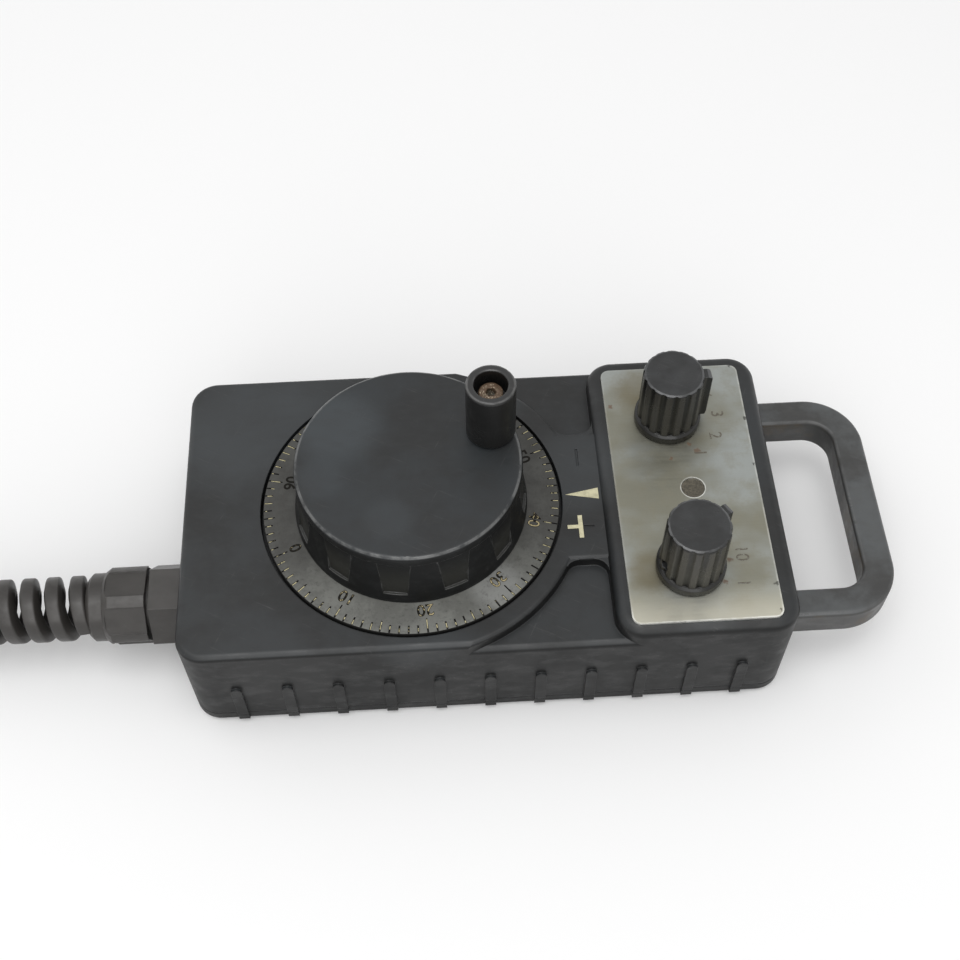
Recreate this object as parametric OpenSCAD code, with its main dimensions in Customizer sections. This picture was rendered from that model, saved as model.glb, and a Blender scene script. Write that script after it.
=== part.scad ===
// Handheld pulse generator: a handwheel with a turning dial ring on a flat hand case, two selector
// knobs on a metal panel plate, a carrying handle and a cable gland with a spiral bend protector.
// All sizes are in millimetres. The origin is on the case's underside, straight below the
// handwheel's axis. +X runs to the handle, +Y to the far long side, +Z up.

/* [Case] */
// Length of the case along X
case_length = 120; // [118:0.5:124]
// Width of the case along Y
case_width = 66; // [65:0.5:70]
// Distance from the handwheel's axis to the cable end of the case
cable_end = 46; // [44:0.5:48]
// Height of the top face round the dial
rim_height = 27.2; // [26.6:0.1:28]
// Depth of the sunk hollows beside the neck
hollow_depth = 2.6; // [2:0.1:3]
// How far the panel block rises above the rim
panel_rise = 1.3; // [0.9:0.1:1.8]
// Height of the seam between the front case and the back cover
seam_height = 3.6; // [3.2:0.1:4]
// Radius of the case's upright corners
corner_radius = 5.5; // [4.5:0.1:7]
// Radius of the case's top edges
edge_radius = 1.3; // [0.8:0.1:1.6]
// Radius of the panel block's top edges
panel_edge_radius = 2.2; // [1.6:0.1:2.6]
// Wall thickness of the case
wall = 2.4; // [2.2:0.1:2.6]
// Width and height of the shadow groove along the seam
seam_groove = 0.3; // [0.2:0.05:0.4]
// Chamfer on the back cover's bottom edge
bottom_chamfer = 1.2; // [0.6:0.1:1.6]
// X of the panel block's wall on the dial side
panel_start = 38.2; // [37.5:0.1:39]
// Width of the neck between the dial and the panel block
neck_width = 30.4; // [28:0.2:32]
// Radius of the raised rim round the dial
rim_radius = 34.4; // [33.6:0.1:35]
// Radius of the concave corners of the hollows
hollow_corner = 2.8; // [2:0.1:3.4]

/* [Grip ribs] */
// Number of ribs on each long side
rib_count = 11; // [7:1:11]
// Spacing of the ribs
rib_pitch = 10; // [8:0.5:10]
// Width of a rib
rib_width = 2.2; // [1.6:0.1:3]
// How far a rib stands out
rib_proud = 0.6; // [0.3:0.1:0.9]
// Height of the rounded top of the ribs
rib_top = 14.5; // [11:0.5:17]

/* [Dial ring] */
// Radius of the dial well in the case
well_radius = 30.45; // [30.2:0.05:30.6]
// Gap between the dial ring and the well
ring_gap = 0.6; // [0.4:0.05:0.9]
// How far the ring's outer edge rises above the rim
ring_edge_rise = 0.1; // [0:0.1:0.3]
// How far the ring rises above the rim where the wheel stands on it
ring_seat_rise = 0.5; // [0.4:0.1:0.8]
// Thickness of the ring
ring_thickness = 2.3; // [2:0.1:2.6]
// Inner radius of the ring
ring_inner_radius = 14.5; // [14:0.1:15]
// Gap between the ring and the well's floor
ring_floor_gap = 1; // [1:0.1:1.3]
// Thickness of the well's floor
well_floor_thickness = 2.2; // [1.8:0.1:2.4]
// Number of divisions on the ring
divisions = 100; // [100:100:100]
// Angle of the zero division
zero_angle = -157.5; // [-180:0.1:180]
// Width of an engraved line
line_width = 0.26; // [0.2:0.02:0.34]
// Length of a unit line
line_short = 1.6; // [1.2:0.1:1.8]
// Length of a five-unit line
line_middle = 2.2; // [1.9:0.1:2.4]
// Length of a ten-unit line
line_long = 2.9; // [2.5:0.1:3.2]

/* [Index marks] */
// Depth of the marks beside the dial
mark_depth = 0.3; // [0.2:0.05:0.4]
// Length of the wedge
wedge_length = 6.9; // [6:0.1:7]
// Width of the wedge's wide end
wedge_width = 2.7; // [2:0.1:3.2]
// Size of the plus and the minus
mark_size = 5.3; // [4.6:0.1:5.4]
// Width of their bars
mark_width = 0.9; // [0.7:0.05:1.1]
// Y of the plus
plus_y = -7.7; // [-8.4:0.1:-7]
// Y of the minus
minus_y = 9; // [8:0.1:10]

/* [Handwheel] */
// Radius of the top rim of the wheel
wheel_radius = 22.2; // [21.8:0.1:22.6]
// Radius of the foot of the wheel
wheel_foot_radius = 23.3; // [23:0.1:23.6]
// Height of the wheel above the ring
wheel_height = 14.3; // [13.3:0.1:16]
// Thickness of the wheel's top
wheel_skin = 2.4; // [2:0.1:3]
// Radius of the skirt just under the rim
wheel_neck_radius = 21.75; // [21.6:0.05:21.9]
// Number of finger flats round the skirt
flat_count = 12; // [10:1:12]
// Angle of the first finger flat
flat_angle = -9; // [-15:1:15]
// Distance from the axis to the top of a finger flat
flat_top_radius = 22; // [21.9:0.05:22.1]
// Distance from the axis to the foot of a finger flat
flat_foot_radius = 22.5; // [22.2:0.1:22.7]
// Width of a finger flat at the top
flat_top_width = 6.5; // [5.5:0.1:6.8]
// Width of a finger flat at the foot
flat_foot_width = 4.7; // [4:0.1:5.4]
// Height of the ledge under the finger flats above the ring
ledge_rise = 2.6; // [2:0.1:3.4]
// Thickness of the wheel's skirt at its foot
skirt_thickness = 3.1; // [2.6:0.1:3.1]
// Thickness of the wheel's rim
rim_thickness = 2.3; // [1.8:0.1:2.6]
// Radius of the rim's upper edge
rim_round = 0.9; // [0.5:0.1:1]
// Radius of the wheel's hub
hub_radius = 6.5; // [6:0.1:7.5]
// Radius of the encoder's shaft
shaft_radius = 3; // [2.5:0.1:3.2]
// Radius of the circle of the screws that hold the ring
ring_screw_circle = 17.6; // [17.4:0.1:17.8]
// Radius of the ring screws' threads
ring_screw_radius = 1; // [0.9:0.1:1]
// Radius of the ring screws' heads
ring_screw_head = 2; // [1.9:0.1:2.1]
// Length of the ring screws in the wheel
ring_screw_grip = 5; // [4:0.5:6]
// Radius of the hub's set screw
hub_screw_radius = 1.5; // [1.5:0.1:1.8]

/* [Crank grip] */
// X of the grip's axis
grip_x = 16.4; // [15.5:0.1:17]
// Y of the grip's axis
grip_y = 6.4; // [5.5:0.1:7]
// Radius of the grip
grip_radius = 4.85; // [4.4:0.05:5]
// Gap between the wheel and the grip
grip_gap = 0.3; // [0.3:0.05:0.5]
// Length of the grip
grip_length = 14.3; // [12:0.1:18]
// Radius of the hollow in the grip's top
grip_hollow_radius = 3.3; // [3:0.1:3.5]
// Depth of the hollow in the grip's top
grip_hollow_depth = 4.9; // [4.5:0.1:5.5]
// Radius of the sleeve that the grip turns on
sleeve_radius = 1.8; // [1.7:0.05:1.9]
// Radius of the grip screw's thread
grip_screw_radius = 1.25; // [1:0.05:1.4]
// Radius of the grip screw's head
grip_screw_head = 2.25; // [2.1:0.05:2.4]
// Height of the grip screw's head
grip_screw_head_height = 2.5; // [2:0.1:3]
// Running clearance of the grip on its sleeve
grip_clearance = 0.05; // [0.03:0.01:0.08]

/* [Panel] */
// Thickness of the panel plate
plate_thickness = 0.5; // [0.4:0.1:0.8]
// Length of the plate along X
plate_length = 29.1; // [28:0.1:29.4]
// Distance from the case's long sides to the plate
plate_margin = 2.55; // [2.5:0.05:3.5]
// X of the plate's centre
plate_x = 55.7; // [55.4:0.1:56]
// Y of the plate's centre
plate_y = -0.7; // [-0.9:0.1:-0.5]
// Radius of the plate's corners
plate_corner = 1.8; // [1:0.1:2.6]
// X of the lamp window
lens_x = 56.8; // [56:0.1:57.5]
// Y of the lamp window
lens_y = -1; // [-1.5:0.1:0]
// Radius of the lamp window
lens_radius = 2.35; // [2:0.05:2.6]

/* [Selector knobs] */
// X of both knobs
knob_x = 53.7; // [53:0.1:54.5]
// Y of the middle between the knobs
knob_middle_y = -1.4; // [-1.8:0.1:-1]
// Distance between the knobs
knob_spacing = 35.7; // [35:0.1:36.4]
// Radius of the knob's foot
knob_foot_radius = 6.8; // [6.4:0.1:7.2]
// Height of the knob's foot ring
knob_foot = 2; // [1.6:0.1:2.6]
// Radius of the knob's top
knob_top_radius = 6.15; // [6:0.05:6.2]
// Height of the knob
knob_height = 14.8; // [13:0.2:16]
// Gap under the knobs
knob_gap = 0.35; // [0.3:0.05:0.5]
// Number of flutes
flute_count = 15; // [12:1:15]
// Radius of the tool that cuts a flute
flute_radius = 1.05; // [0.8:0.05:1.1]
// How far a knob's nose reaches from its axis
nose_reach = 7.9; // [7.6:0.1:8.2]
// Width of a knob's nose
nose_width = 2.3; // [1.8:0.1:2.4]
// How far a nose stays below the knob's top
nose_drop = 0.9; // [0.6:0.1:1.4]
// Angle of the axis knob's nose
axis_nose_angle = 3; // [-30:1:30]
// Angle of the step knob's nose
step_nose_angle = 34; // [0:1:60]
// Angle from the nose to the set screw
set_screw_angle = 165; // [150:5:180]
// Radius of the switch shafts
switch_shaft_radius = 3; // [2.8:0.1:3]
// Radius of the switch bushes
switch_bush_radius = 3.5; // [3.4:0.1:3.8]
// Running clearance of a shaft in its bush
shaft_clearance = 0.03; // [0.02:0.01:0.08]
// Length of the switch bushes above the plate
switch_bush_proud = 2.2; // [2:0.1:2.4]
// Thickness of the switch nuts
switch_nut_thickness = 1.9; // [1.5:0.1:2]
// Radius of a switch nut's corners
switch_nut_radius = 5.3; // [5:0.1:5.3]
// Depth of the recess under a knob
knob_recess_depth = 2.8; // [2.6:0.1:3.2]
// Height of the set screws above the knob's foot
knob_screw_height = 4.2; // [4.1:0.1:5]
// Radius of the knobs' set screws
knob_screw_radius = 1.2; // [1:0.05:1.25]
// Radius of a switch body
switch_radius = 8; // [7:0.2:8.4]
// Depth of a switch body
switch_depth = 11; // [9:0.5:12]

/* [Handle] */
// How far the handle reaches from the case
handle_reach = 22.8; // [21:0.2:25]
// Distance from the case's long sides to the handle
handle_inset = 6.5; // [6:0.1:8]
// Width of the handle's band
handle_band = 6.3; // [5.6:0.1:6.8]
// Outer corner radius of the handle
handle_corner = 11.5; // [8:0.5:12]
// Height of the handle's lower face
handle_bottom = 12.5; // [11.5:0.1:13]
// Thickness of the handle along Z
handle_thickness = 7.1; // [6:0.1:8]
// Radius of the handle band's edges
handle_round = 1; // [0.5:0.1:1.5]

/* [Cable gland] */
// Y of the gland's axis
gland_y = -13; // [-14:0.1:-12]
// Depth of the gland's axis below the dial well's underside, which its locknut has to clear
gland_drop = 8.2; // [8:0.1:8.4]
// Radius of the gland's thread
gland_thread = 6; // [5.8:0.1:6.2]
// Width across the gland's flats
gland_flats = 15; // [14.4:0.2:15.6]
// Length of the gland's hexagon
gland_hex_length = 7; // [6:0.2:8]
// Thickness of the gland's washer
washer_thickness = 0.8; // [0.6:0.1:1.2]
// Thickness of the gland's locknut
locknut_thickness = 3.4; // [3:0.1:4]
// Length of the gland's seal
seal_length = 9; // [8:0.2:9.4]
// Outer radius of the gland's seal
seal_radius = 5; // [4.6:0.1:5.2]
// Turn of the gland's hexagon about its axis
hex_turn = 6; // [0:1:60]
// Radius of the dome nut
dome_radius = 8.1; // [7.8:0.1:8.4]
// Distance from the axis to the dome nut's six flats
dome_flat = 7.3; // [7.1:0.05:7.5]
// Width of the dome nut's flats
dome_flat_width = 5.8; // [5:0.1:6.2]
// Angle of the dome nut's first land
dome_turn = 6.5; // [0:0.5:60]
// Length of the dome nut
dome_length = 8.6; // [8:0.2:9.4]
// Radius of the collar before the spiral
collar_radius = 6.9; // [6.6:0.1:7.2]
// Length of the collar
collar_length = 3.4; // [3:0.2:4]
// Radius of the cable's passage
cable_radius = 3; // [2.5:0.1:3.2]
// Outer radius of the spiral
spiral_radius = 6.6; // [6.2:0.1:6.8]
// Inner radius of the spiral
spiral_inner = 4.7; // [4.4:0.1:5]
// Pitch of the spiral
spiral_pitch = 4.9; // [4.7:0.1:5.3]
// Turns of the spiral
spiral_turns = 8; // [5:1:8]
// Width of the spiral's strand
spiral_strand = 2.6; // [2:0.1:2.8]

/* [Inside] */
// Radius of the encoder's body
encoder_radius = 22; // [20:0.5:23]
// Gap between the encoder and the circuit board
encoder_board_gap = 2; // [1.6:0.1:2.6]
// Thickness of the encoder's wall
encoder_wall = 2; // [1.6:0.1:2.4]
// Radius of the encoder's neck in the well floor
encoder_neck = 7; // [6.6:0.1:7.4]
// Height of the encoder's neck above the well's floor
encoder_neck_proud = 1.6; // [1.2:0.1:1.8]
// Outer radius of the encoder's bushes
encoder_bush_radius = 5; // [4.5:0.1:5]
// Length of the encoder's bushes
encoder_bush_length = 3.4; // [2.5:0.1:3.6]
// Radius of the encoder's slotted disc
encoder_disc_radius = 17; // [15:0.5:18]
// Thickness of the encoder's slotted disc
encoder_disc_thickness = 0.8; // [0.6:0.1:1]
// Radius of the circle of the encoder's screws
encoder_screw_circle = 11; // [10.5:0.1:11.2]
// Radius of the M3 screws' threads
screw_radius = 1.25; // [1.2:0.05:1.3]
// Radius of the M3 screws' heads
screw_head = 2.6; // [2.4:0.1:2.7]
// Height of the M3 screws' heads
screw_head_height = 1.7; // [1.4:0.1:1.8]
// Depth of the board's underside below the rim, which leaves room for the encoder over it
board_depth = 22; // [21.8:0.1:22.2]
// Thickness of the circuit board
board_thickness = 1.6; // [1.2:0.1:1.6]
// Distance from the case's ends to the circuit board
board_end_inset = 10.5; // [10:0.5:12]
// Distance from the case's long sides to the circuit board
board_side_inset = 6; // [5.8:0.1:7]
// Distance from the circuit board's edges to its posts
post_inset = 4; // [3.6:0.1:5]
// Radius of the posts
post_radius = 2.4; // [2.2:0.1:2.6]
// Radius of the board screws' threads
post_screw_radius = 0.9; // [0.8:0.05:1]
// Length of the terminal block along Y
terminal_length = 20; // [16:1:20]
// Width of the terminal block along X
terminal_width = 8; // [7:0.5:8]
// Height of the terminal block
terminal_height = 7.4; // [6:0.1:7.6]
// Clearance between the terminal block and the nearest board screw's head
terminal_gap = 0.1; // [0.1:0.05:0.5]
// Distance of the case screws from the case's sides
boss_inset = 5; // [4.8:0.1:5.2]
// Depth of the case screws' holes above the seam
boss_hole = 12.4; // [10:0.2:13]
// Radius of the case screws' bosses
boss_radius = 3; // [2.9:0.1:3.1]

/* [Hidden] */
$fn = 72;
eps = 0.01;
x0 = -cable_end;
x1 = case_length - cable_end;
mid_x = (x0 + x1) / 2;
half_w = case_width / 2;
hollow_height = rim_height - hollow_depth;
panel_height = rim_height + panel_rise;
ring_edge_height = rim_height + ring_edge_rise;
ring_seat_height = rim_height + ring_seat_rise;
ring_bottom = ring_seat_height - ring_thickness;
well_floor = ring_bottom - ring_floor_gap;
ceiling = well_floor - well_floor_thickness;
wheel_top = ring_seat_height + wheel_height;
ledge_height = ring_seat_height + ledge_rise;
skirt_inner = wheel_foot_radius - skirt_thickness;
plate_width = case_width - 2 * plate_margin;
handle_width = case_width - 2 * handle_inset;
handle_z = handle_bottom + handle_thickness / 2;
board_x0 = x0 + board_end_inset;
board_x1 = x1 - board_end_inset - 12;
board_y = half_w - board_side_inset;
board_height = rim_height - board_depth;
board_top = board_height + board_thickness;
post_head = 2 * post_screw_radius + 0.1;
terminal_y = board_y - post_inset - post_head - terminal_gap - terminal_length;
boss_y = half_w - boss_inset;
hub_screw_z = (wheel_top + ring_seat_height) / 2;
panel_ceiling = panel_height - wall;
ring_radius = well_radius - ring_gap;
plate_top = panel_height + plate_thickness;
wheel_under = wheel_top - wheel_skin;
knob_z = plate_top + knob_gap;
knob_top = knob_z + knob_height;
axis_knob_y = knob_middle_y + knob_spacing / 2;
step_knob_y = knob_middle_y - knob_spacing / 2;
grip_bottom = wheel_top + grip_gap;
grip_top = grip_bottom + grip_length;
grip_shoulder = grip_top - grip_hollow_depth;
screw_seat = grip_shoulder + 0.3;
encoder_bottom = board_top + encoder_board_gap;
encoder_depth = ceiling - encoder_bottom;
bush_top = well_floor + encoder_neck_proud;
encoder_bore = encoder_radius - encoder_wall;
encoder_roof = ceiling - 6;
switch_bottom = panel_ceiling - switch_depth;
gland_z = ceiling - gland_drop;
gland_face = x0 - gland_hex_length;
seal_end = gland_face - 6 + seal_length;
dome_start = gland_face - 0.8;
dome_end = dome_start - dome_length;
collar_end = dome_end - collar_length;
boss_x = [x0 + boss_inset, x1 - boss_inset];
handle_screw_y = handle_width / 2 - handle_band / 2 - 0.9;
ring_screw_angles = [100, 220, 340];
encoder_screw_angles = [30, 150, 270];

// ---- shared shapes ----------------------------------------------------------------------------

// Flat outline of a rounded rectangle with its centre at the origin
module rounded_rect(l, w, r) {
  square([l - 2 * r, w], center = true);
  square([l, w - 2 * r], center = true);
  for (x = [-1, 1], y = [-1, 1])
    translate([x * (l / 2 - r), y * (w / 2 - r)]) circle(r);
}

// Upright section of a block whose two top edges are rounded
module round_section(w, h, r) {
  translate([-w / 2, 0]) square([w, h - r]);
  translate([-w / 2 + r, 0]) square([w - 2 * r, h]);
  translate([-w / 2 + r, h - r]) circle(r);
  translate([w / 2 - r, h - r]) circle(r);
}

// Upright section of a block whose two bottom edges are chamfered
module chamfer_section(w, h, c) {
  polygon([[-w / 2 + c, 0], [w / 2 - c, 0], [w / 2, c], [w / 2, h], [-w / 2, h], [-w / 2, c]]);
}

// Block with upright corners of radius rc and rounded top edges of radius rt
module round_block(l, w, h, rc, rt) {
  translate([-(l / 2 - rc), 0, 0]) rotate([90, 0, 90]) linear_extrude(l - 2 * rc) round_section(w, h, rt);
  translate([0, w / 2 - rc, 0]) rotate([90, 0, 0]) linear_extrude(w - 2 * rc) round_section(l, h, rt);
  for (x = [-1, 1], y = [-1, 1])
    translate([x * (l / 2 - rc), y * (w / 2 - rc), 0])
      rotate_extrude()
        intersection() {
          round_section(2 * rc, h, rt);
          square([rc, h]);
        }
}

// Block with upright corners of radius rc and a chamfered bottom edge
module chamfer_block(l, w, h, rc, c) {
  translate([-(l / 2 - rc), 0, 0]) rotate([90, 0, 90]) linear_extrude(l - 2 * rc) chamfer_section(w, h, c);
  translate([0, w / 2 - rc, 0]) rotate([90, 0, 0]) linear_extrude(w - 2 * rc) chamfer_section(l, h, c);
  for (x = [-1, 1], y = [-1, 1])
    translate([x * (l / 2 - rc), y * (w / 2 - rc), 0])
      rotate_extrude()
        intersection() {
          chamfer_section(2 * rc, h, c);
          square([rc, h]);
        }
}

// Round bar along X from xa to xb
module bar_x(xa, xb, r, y, z) {
  translate([xa, y, z]) rotate([0, 90, 0]) cylinder(h = xb - xa, r = r);
}

// Hexagon along X with its flats above and below
module hex_x(xa, xb, flats, y, z) {
  translate([xa, y, z]) rotate([0, 90, 0]) rotate([0, 0, 30 + hex_turn])
    cylinder(h = xb - xa, r = flats / sqrt(3), $fn = 6);
}

// Ribs of both long sides between two heights
module grip_ribs(za, zb, rounded) {
  for (i = [0 : rib_count - 1], side = [-1, 1]) {
    rx = mid_x + (i - (rib_count - 1) / 2) * rib_pitch;
    translate([rx - rib_width / 2, side * half_w - (side > 0 ? 0.5 : rib_proud), za])
      cube([rib_width, rib_proud + 0.5, zb - za]);
    if (rounded)
      translate([rx, side * half_w + (side > 0 ? -0.5 : 0.5), zb])
        rotate([side * -90, 0, 0])
          cylinder(h = rib_proud + 0.5, r = rib_width / 2);
  }
}

// Places its child at each of the four case screws
module at_bosses() {
  for (x = boss_x, y = [-boss_y, boss_y])
    translate([x, y, 0]) children();
}

// Places its child at each of the circuit board's four posts
module at_posts() {
  for (x = [board_x0 + post_inset, board_x1 - post_inset], side = [-1, 1])
    translate([x, side * (board_y - post_inset), 0]) children();
}

// ---- case -------------------------------------------------------------------------------------

// Plan of the concave corner between the rim and the neck, on the near side
module rim_neck_corner() {
  cy = -neck_width / 2 - hollow_corner;
  rr = rim_radius + hollow_corner;
  cx = sqrt(rr * rr - cy * cy);
  px = sqrt(rim_radius * rim_radius - neck_width * neck_width / 4);
  difference() {
    polygon([[px - 1, -neck_width / 2 + 0.5], [cx, -neck_width / 2 + 0.5], [cx, -neck_width / 2], [cx, cy],
             [cx * rim_radius / rr, cy * rim_radius / rr]]);
    translate([cx, cy]) circle(hollow_corner);
  }
}

// Plan of the concave corner between the neck and the panel block, on the near side
module neck_panel_corner() {
  difference() {
    translate([panel_start - hollow_corner, -neck_width / 2 - hollow_corner])
      square([hollow_corner + 0.5, hollow_corner + 0.5]);
    translate([panel_start - hollow_corner, -neck_width / 2 - hollow_corner]) circle(hollow_corner);
  }
}

// Outer body of the front case above the seam
module case_outside() {
  translate([0, 0, seam_height]) {
    translate([mid_x, 0, 0])
      round_block(case_length, case_width, hollow_height - seam_height, corner_radius, edge_radius);
    translate([(x0 + 6) / 2, 0, 0])
      round_block(6 - x0, case_width, rim_height - seam_height, corner_radius, edge_radius);
    intersection() {
      translate([-40, 0, 0]) rotate([90, 0, 90])
        linear_extrude(80) round_section(case_width, rim_height - seam_height, edge_radius);
      rotate_extrude()
        intersection() {
          round_section(2 * rim_radius, rim_height - seam_height, 0.9);
          square([rim_radius, rim_height]);
        }
    }
    translate([26, 0, 0]) rotate([90, 0, 90])
      linear_extrude(panel_start - 24) round_section(neck_width, rim_height - seam_height, 0.9);
    translate([(panel_start + x1) / 2, 0, 0])
      round_block(x1 - panel_start, case_width, panel_height - seam_height, corner_radius,
                  panel_edge_radius);
    for (m = [0, 1])
      mirror([0, m, 0]) {
        linear_extrude(rim_height - seam_height - 0.3) rim_neck_corner();
        linear_extrude(rim_height - seam_height - 0.3) neck_panel_corner();
      }
  }
  grip_ribs(seam_height, rib_top - rib_width / 2, true);
}

module front_case() {
  color("#3a3c40")
    difference() {
      union() {
        difference() {
          case_outside();
          translate([mid_x, 0, seam_height - 1])
            linear_extrude(ceiling - seam_height + 1)
              rounded_rect(case_length - 2 * wall, case_width - 2 * wall, corner_radius - wall);
          translate([(panel_start + wall + x1 - wall) / 2, 0, ceiling - 1])
            linear_extrude(panel_ceiling - ceiling + 1)
              rounded_rect(x1 - panel_start - 2 * wall - 1.2, case_width - 2 * wall - 1.2, 2);
          translate([0, 0, well_floor]) cylinder(h = 10, r = well_radius);
        }
        at_bosses()
          translate([0, 0, seam_height]) cylinder(h = ceiling - seam_height + 0.5, r = boss_radius);
      }
      at_bosses() translate([0, 0, seam_height - 1]) cylinder(h = boss_hole + 1, r = screw_radius);
      translate([0, 0, ceiling - 1]) cylinder(h = 6, r = encoder_neck + 0.1);
      for (a = encoder_screw_angles)
        rotate([0, 0, a]) translate([encoder_screw_circle, 0, ceiling - 1])
          cylinder(h = 6, r = screw_radius + 0.35);
      for (y = [axis_knob_y, step_knob_y])
        translate([knob_x, y, panel_ceiling - 1]) cylinder(h = 6, r = switch_bush_radius + 0.1);
      translate([lens_x, lens_y, panel_ceiling - 1]) cylinder(h = 6, r = lens_radius);
      bar_x(x0 - 2, x0 + wall + 1, gland_thread + 0.1, gland_y, gland_z);
      for (y = [-handle_screw_y, handle_screw_y])
        bar_x(x1 - wall - 1, x1 + 2, screw_radius + 0.1, y, handle_z);
      translate([0, 0, rim_height - mark_depth]) linear_extrude(3) {
        painted_plan();
        bare_plan();
      }
    }
}

// Plan of the wedge and of the plus where its paint has stayed
module painted_plan() {
  polygon([[30.95, 0], [30.95 + wedge_length, wedge_width / 2], [30.95 + wedge_length, -wedge_width / 2]]);
  translate([33.1, plus_y - mark_size / 2]) square([mark_width, mark_size]);
  translate([30.9, plus_y - mark_width / 2]) square([2.6, mark_width]);
}

// Plan of the minus and of the plus's bar where the paint has gone
module bare_plan() {
  translate([33.4, plus_y - mark_width / 4]) square([mark_size - 2.5, mark_width / 2]);
  translate([34.1, minus_y - mark_size / 2.5]) square([mark_width / 2, mark_size / 1.25]);
}

module index_marks() {
  color("#e8e2c4")
    translate([0, 0, rim_height - mark_depth]) linear_extrude(mark_depth - 0.05) painted_plan();
}

module back_cover() {
  color("#34363a")
    difference() {
      union() {
        difference() {
          union() {
            translate([mid_x, 0, 0])
              chamfer_block(case_length, case_width, seam_height - seam_groove, corner_radius,
                            bottom_chamfer);
            translate([mid_x, 0, wall])
              linear_extrude(seam_height - wall)
                rounded_rect(case_length - 2 * seam_groove, case_width - 2 * seam_groove,
                             corner_radius - seam_groove);
            grip_ribs(bottom_chamfer + 0.3, seam_height - seam_groove, false);
          }
          translate([mid_x, 0, wall])
            linear_extrude(5)
              rounded_rect(case_length - 2 * wall, case_width - 2 * wall, corner_radius - wall);
          translate([mid_x, 0, seam_height - 0.7])
            linear_extrude(2)
              difference() {
                rounded_rect(case_length - 1.6, case_width - 1.6, corner_radius - 0.8);
                rounded_rect(case_length - 3.2, case_width - 3.2, corner_radius - 1.6);
              }
        }
        at_bosses() translate([0, 0, 1]) cylinder(h = seam_height - 1, r = boss_radius);
        at_posts() translate([0, 0, 1]) cylinder(h = board_height - 1, r = post_radius);
      }
      at_bosses() {
        translate([0, 0, -1]) cylinder(h = screw_head_height + 1.3, r = screw_head + 0.3);
        translate([0, 0, -1]) cylinder(h = seam_height + 4, r = screw_radius + 0.25);
      }
      at_posts() translate([0, 0, 2]) cylinder(h = board_height, r = post_screw_radius);
    }
}

module case_gasket() {
  color("#1c1c1c")
    translate([mid_x, 0, seam_height - 0.7])
      linear_extrude(0.7)
        difference() {
          rounded_rect(case_length - 1.6, case_width - 1.6, corner_radius - 0.8);
          rounded_rect(case_length - 3.2, case_width - 3.2, corner_radius - 1.6);
        }
}

module case_screws() {
  color("#8a8d90")
    at_bosses()
      difference() {
        union() {
          translate([0, 0, 0.3]) cylinder(h = screw_head_height, r = screw_head);
          translate([0, 0, 1]) cylinder(h = seam_height + boss_hole - 2, r = screw_radius);
        }
        for (a = [0, 90])
          rotate([0, 0, a]) translate([-1.5, -0.3, -1]) cube([3, 0.6, 2.2]);
      }
}

// ---- panel ------------------------------------------------------------------------------------

module panel_plate() {
  color("#b9bbb4")
    difference() {
      translate([plate_x, plate_y, panel_height])
        linear_extrude(plate_thickness) rounded_rect(plate_length, plate_width, plate_corner);
      for (y = [axis_knob_y, step_knob_y])
        translate([knob_x, y, panel_height - 1]) cylinder(h = 4, r = switch_bush_radius + 0.1);
      translate([lens_x, lens_y, panel_height - 1]) cylinder(h = 4, r = lens_radius + 0.05);
    }
}

module indicator_lens() {
  color("#8d7f6c")
    translate([lens_x, lens_y, 0]) {
      translate([0, 0, panel_ceiling - 0.8]) cylinder(h = 0.8, r = lens_radius + 0.9);
      translate([0, 0, panel_ceiling - 0.4]) cylinder(h = wall + 0.5, r = lens_radius);
    }
}

module indicator_lamp() {
  color("#d8d2c0")
    translate([lens_x, lens_y, 0]) {
      translate([0, 0, panel_ceiling - 7.1]) cylinder(h = 4.4, r = 1.5);
      translate([0, 0, panel_ceiling - 2.7]) sphere(1.5);
      translate([0, 0, panel_ceiling - 7.9]) cylinder(h = 1, r = 1.9);
      for (y = [-1.27, 1.27])
        translate([-0.25, y - 0.25, board_top]) cube([0.5, 0.5, panel_ceiling - 7.1 - board_top]);
    }
}

// Rotary switch with its threaded bush, lugs and lower pins
module switch_body(y) {
  translate([knob_x, y, 0])
    difference() {
      union() {
        translate([0, 0, switch_bottom]) cylinder(h = switch_depth, r = switch_radius);
        translate([0, 0, panel_ceiling - 1])
          cylinder(h = 1 + wall + plate_thickness + switch_bush_proud, r = switch_bush_radius);
        for (a = [0 : 30 : 330])
          rotate([0, 0, a]) translate([switch_radius - 1.8, -0.4, switch_bottom - 2.6]) cube([0.4, 0.8, 3]);
      }
      translate([0, 0, switch_bottom + 2])
        cylinder(h = switch_depth + 20, r = switch_shaft_radius + shaft_clearance);
    }
}

module axis_switch() {
  color("#26282b") switch_body(axis_knob_y);
}

module step_switch() {
  color("#26282b") switch_body(step_knob_y);
}

module switch_nuts() {
  color("#b8b6a8")
    for (y = [axis_knob_y, step_knob_y])
      translate([knob_x, y, plate_top])
        difference() {
          cylinder(h = switch_nut_thickness, r = switch_nut_radius, $fn = 6);
          translate([0, 0, -1]) cylinder(h = 4, r = switch_bush_radius);
        }
}

// Shaft of a selector from inside the switch to inside the knob
module switch_shaft(y) {
  translate([knob_x, y, switch_bottom + 2.3])
    cylinder(h = knob_top - 3 - (switch_bottom + 2.3), r = switch_shaft_radius);
}

module axis_shaft() {
  color("#b4b2aa") switch_shaft(axis_knob_y);
}

module step_shaft() {
  color("#b4b2aa") switch_shaft(step_knob_y);
}

// Side view of a knob's nose
module nose_side() {
  top = knob_height - nose_drop;
  polygon([[0, knob_foot - 0.3], [nose_reach - 0.4, knob_foot - 0.3], [nose_reach, knob_foot + 0.6],
           [nose_reach, top - 1], [nose_reach - 0.3, top - 0.3], [nose_reach - 1, top], [0, top]]);
}

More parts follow.
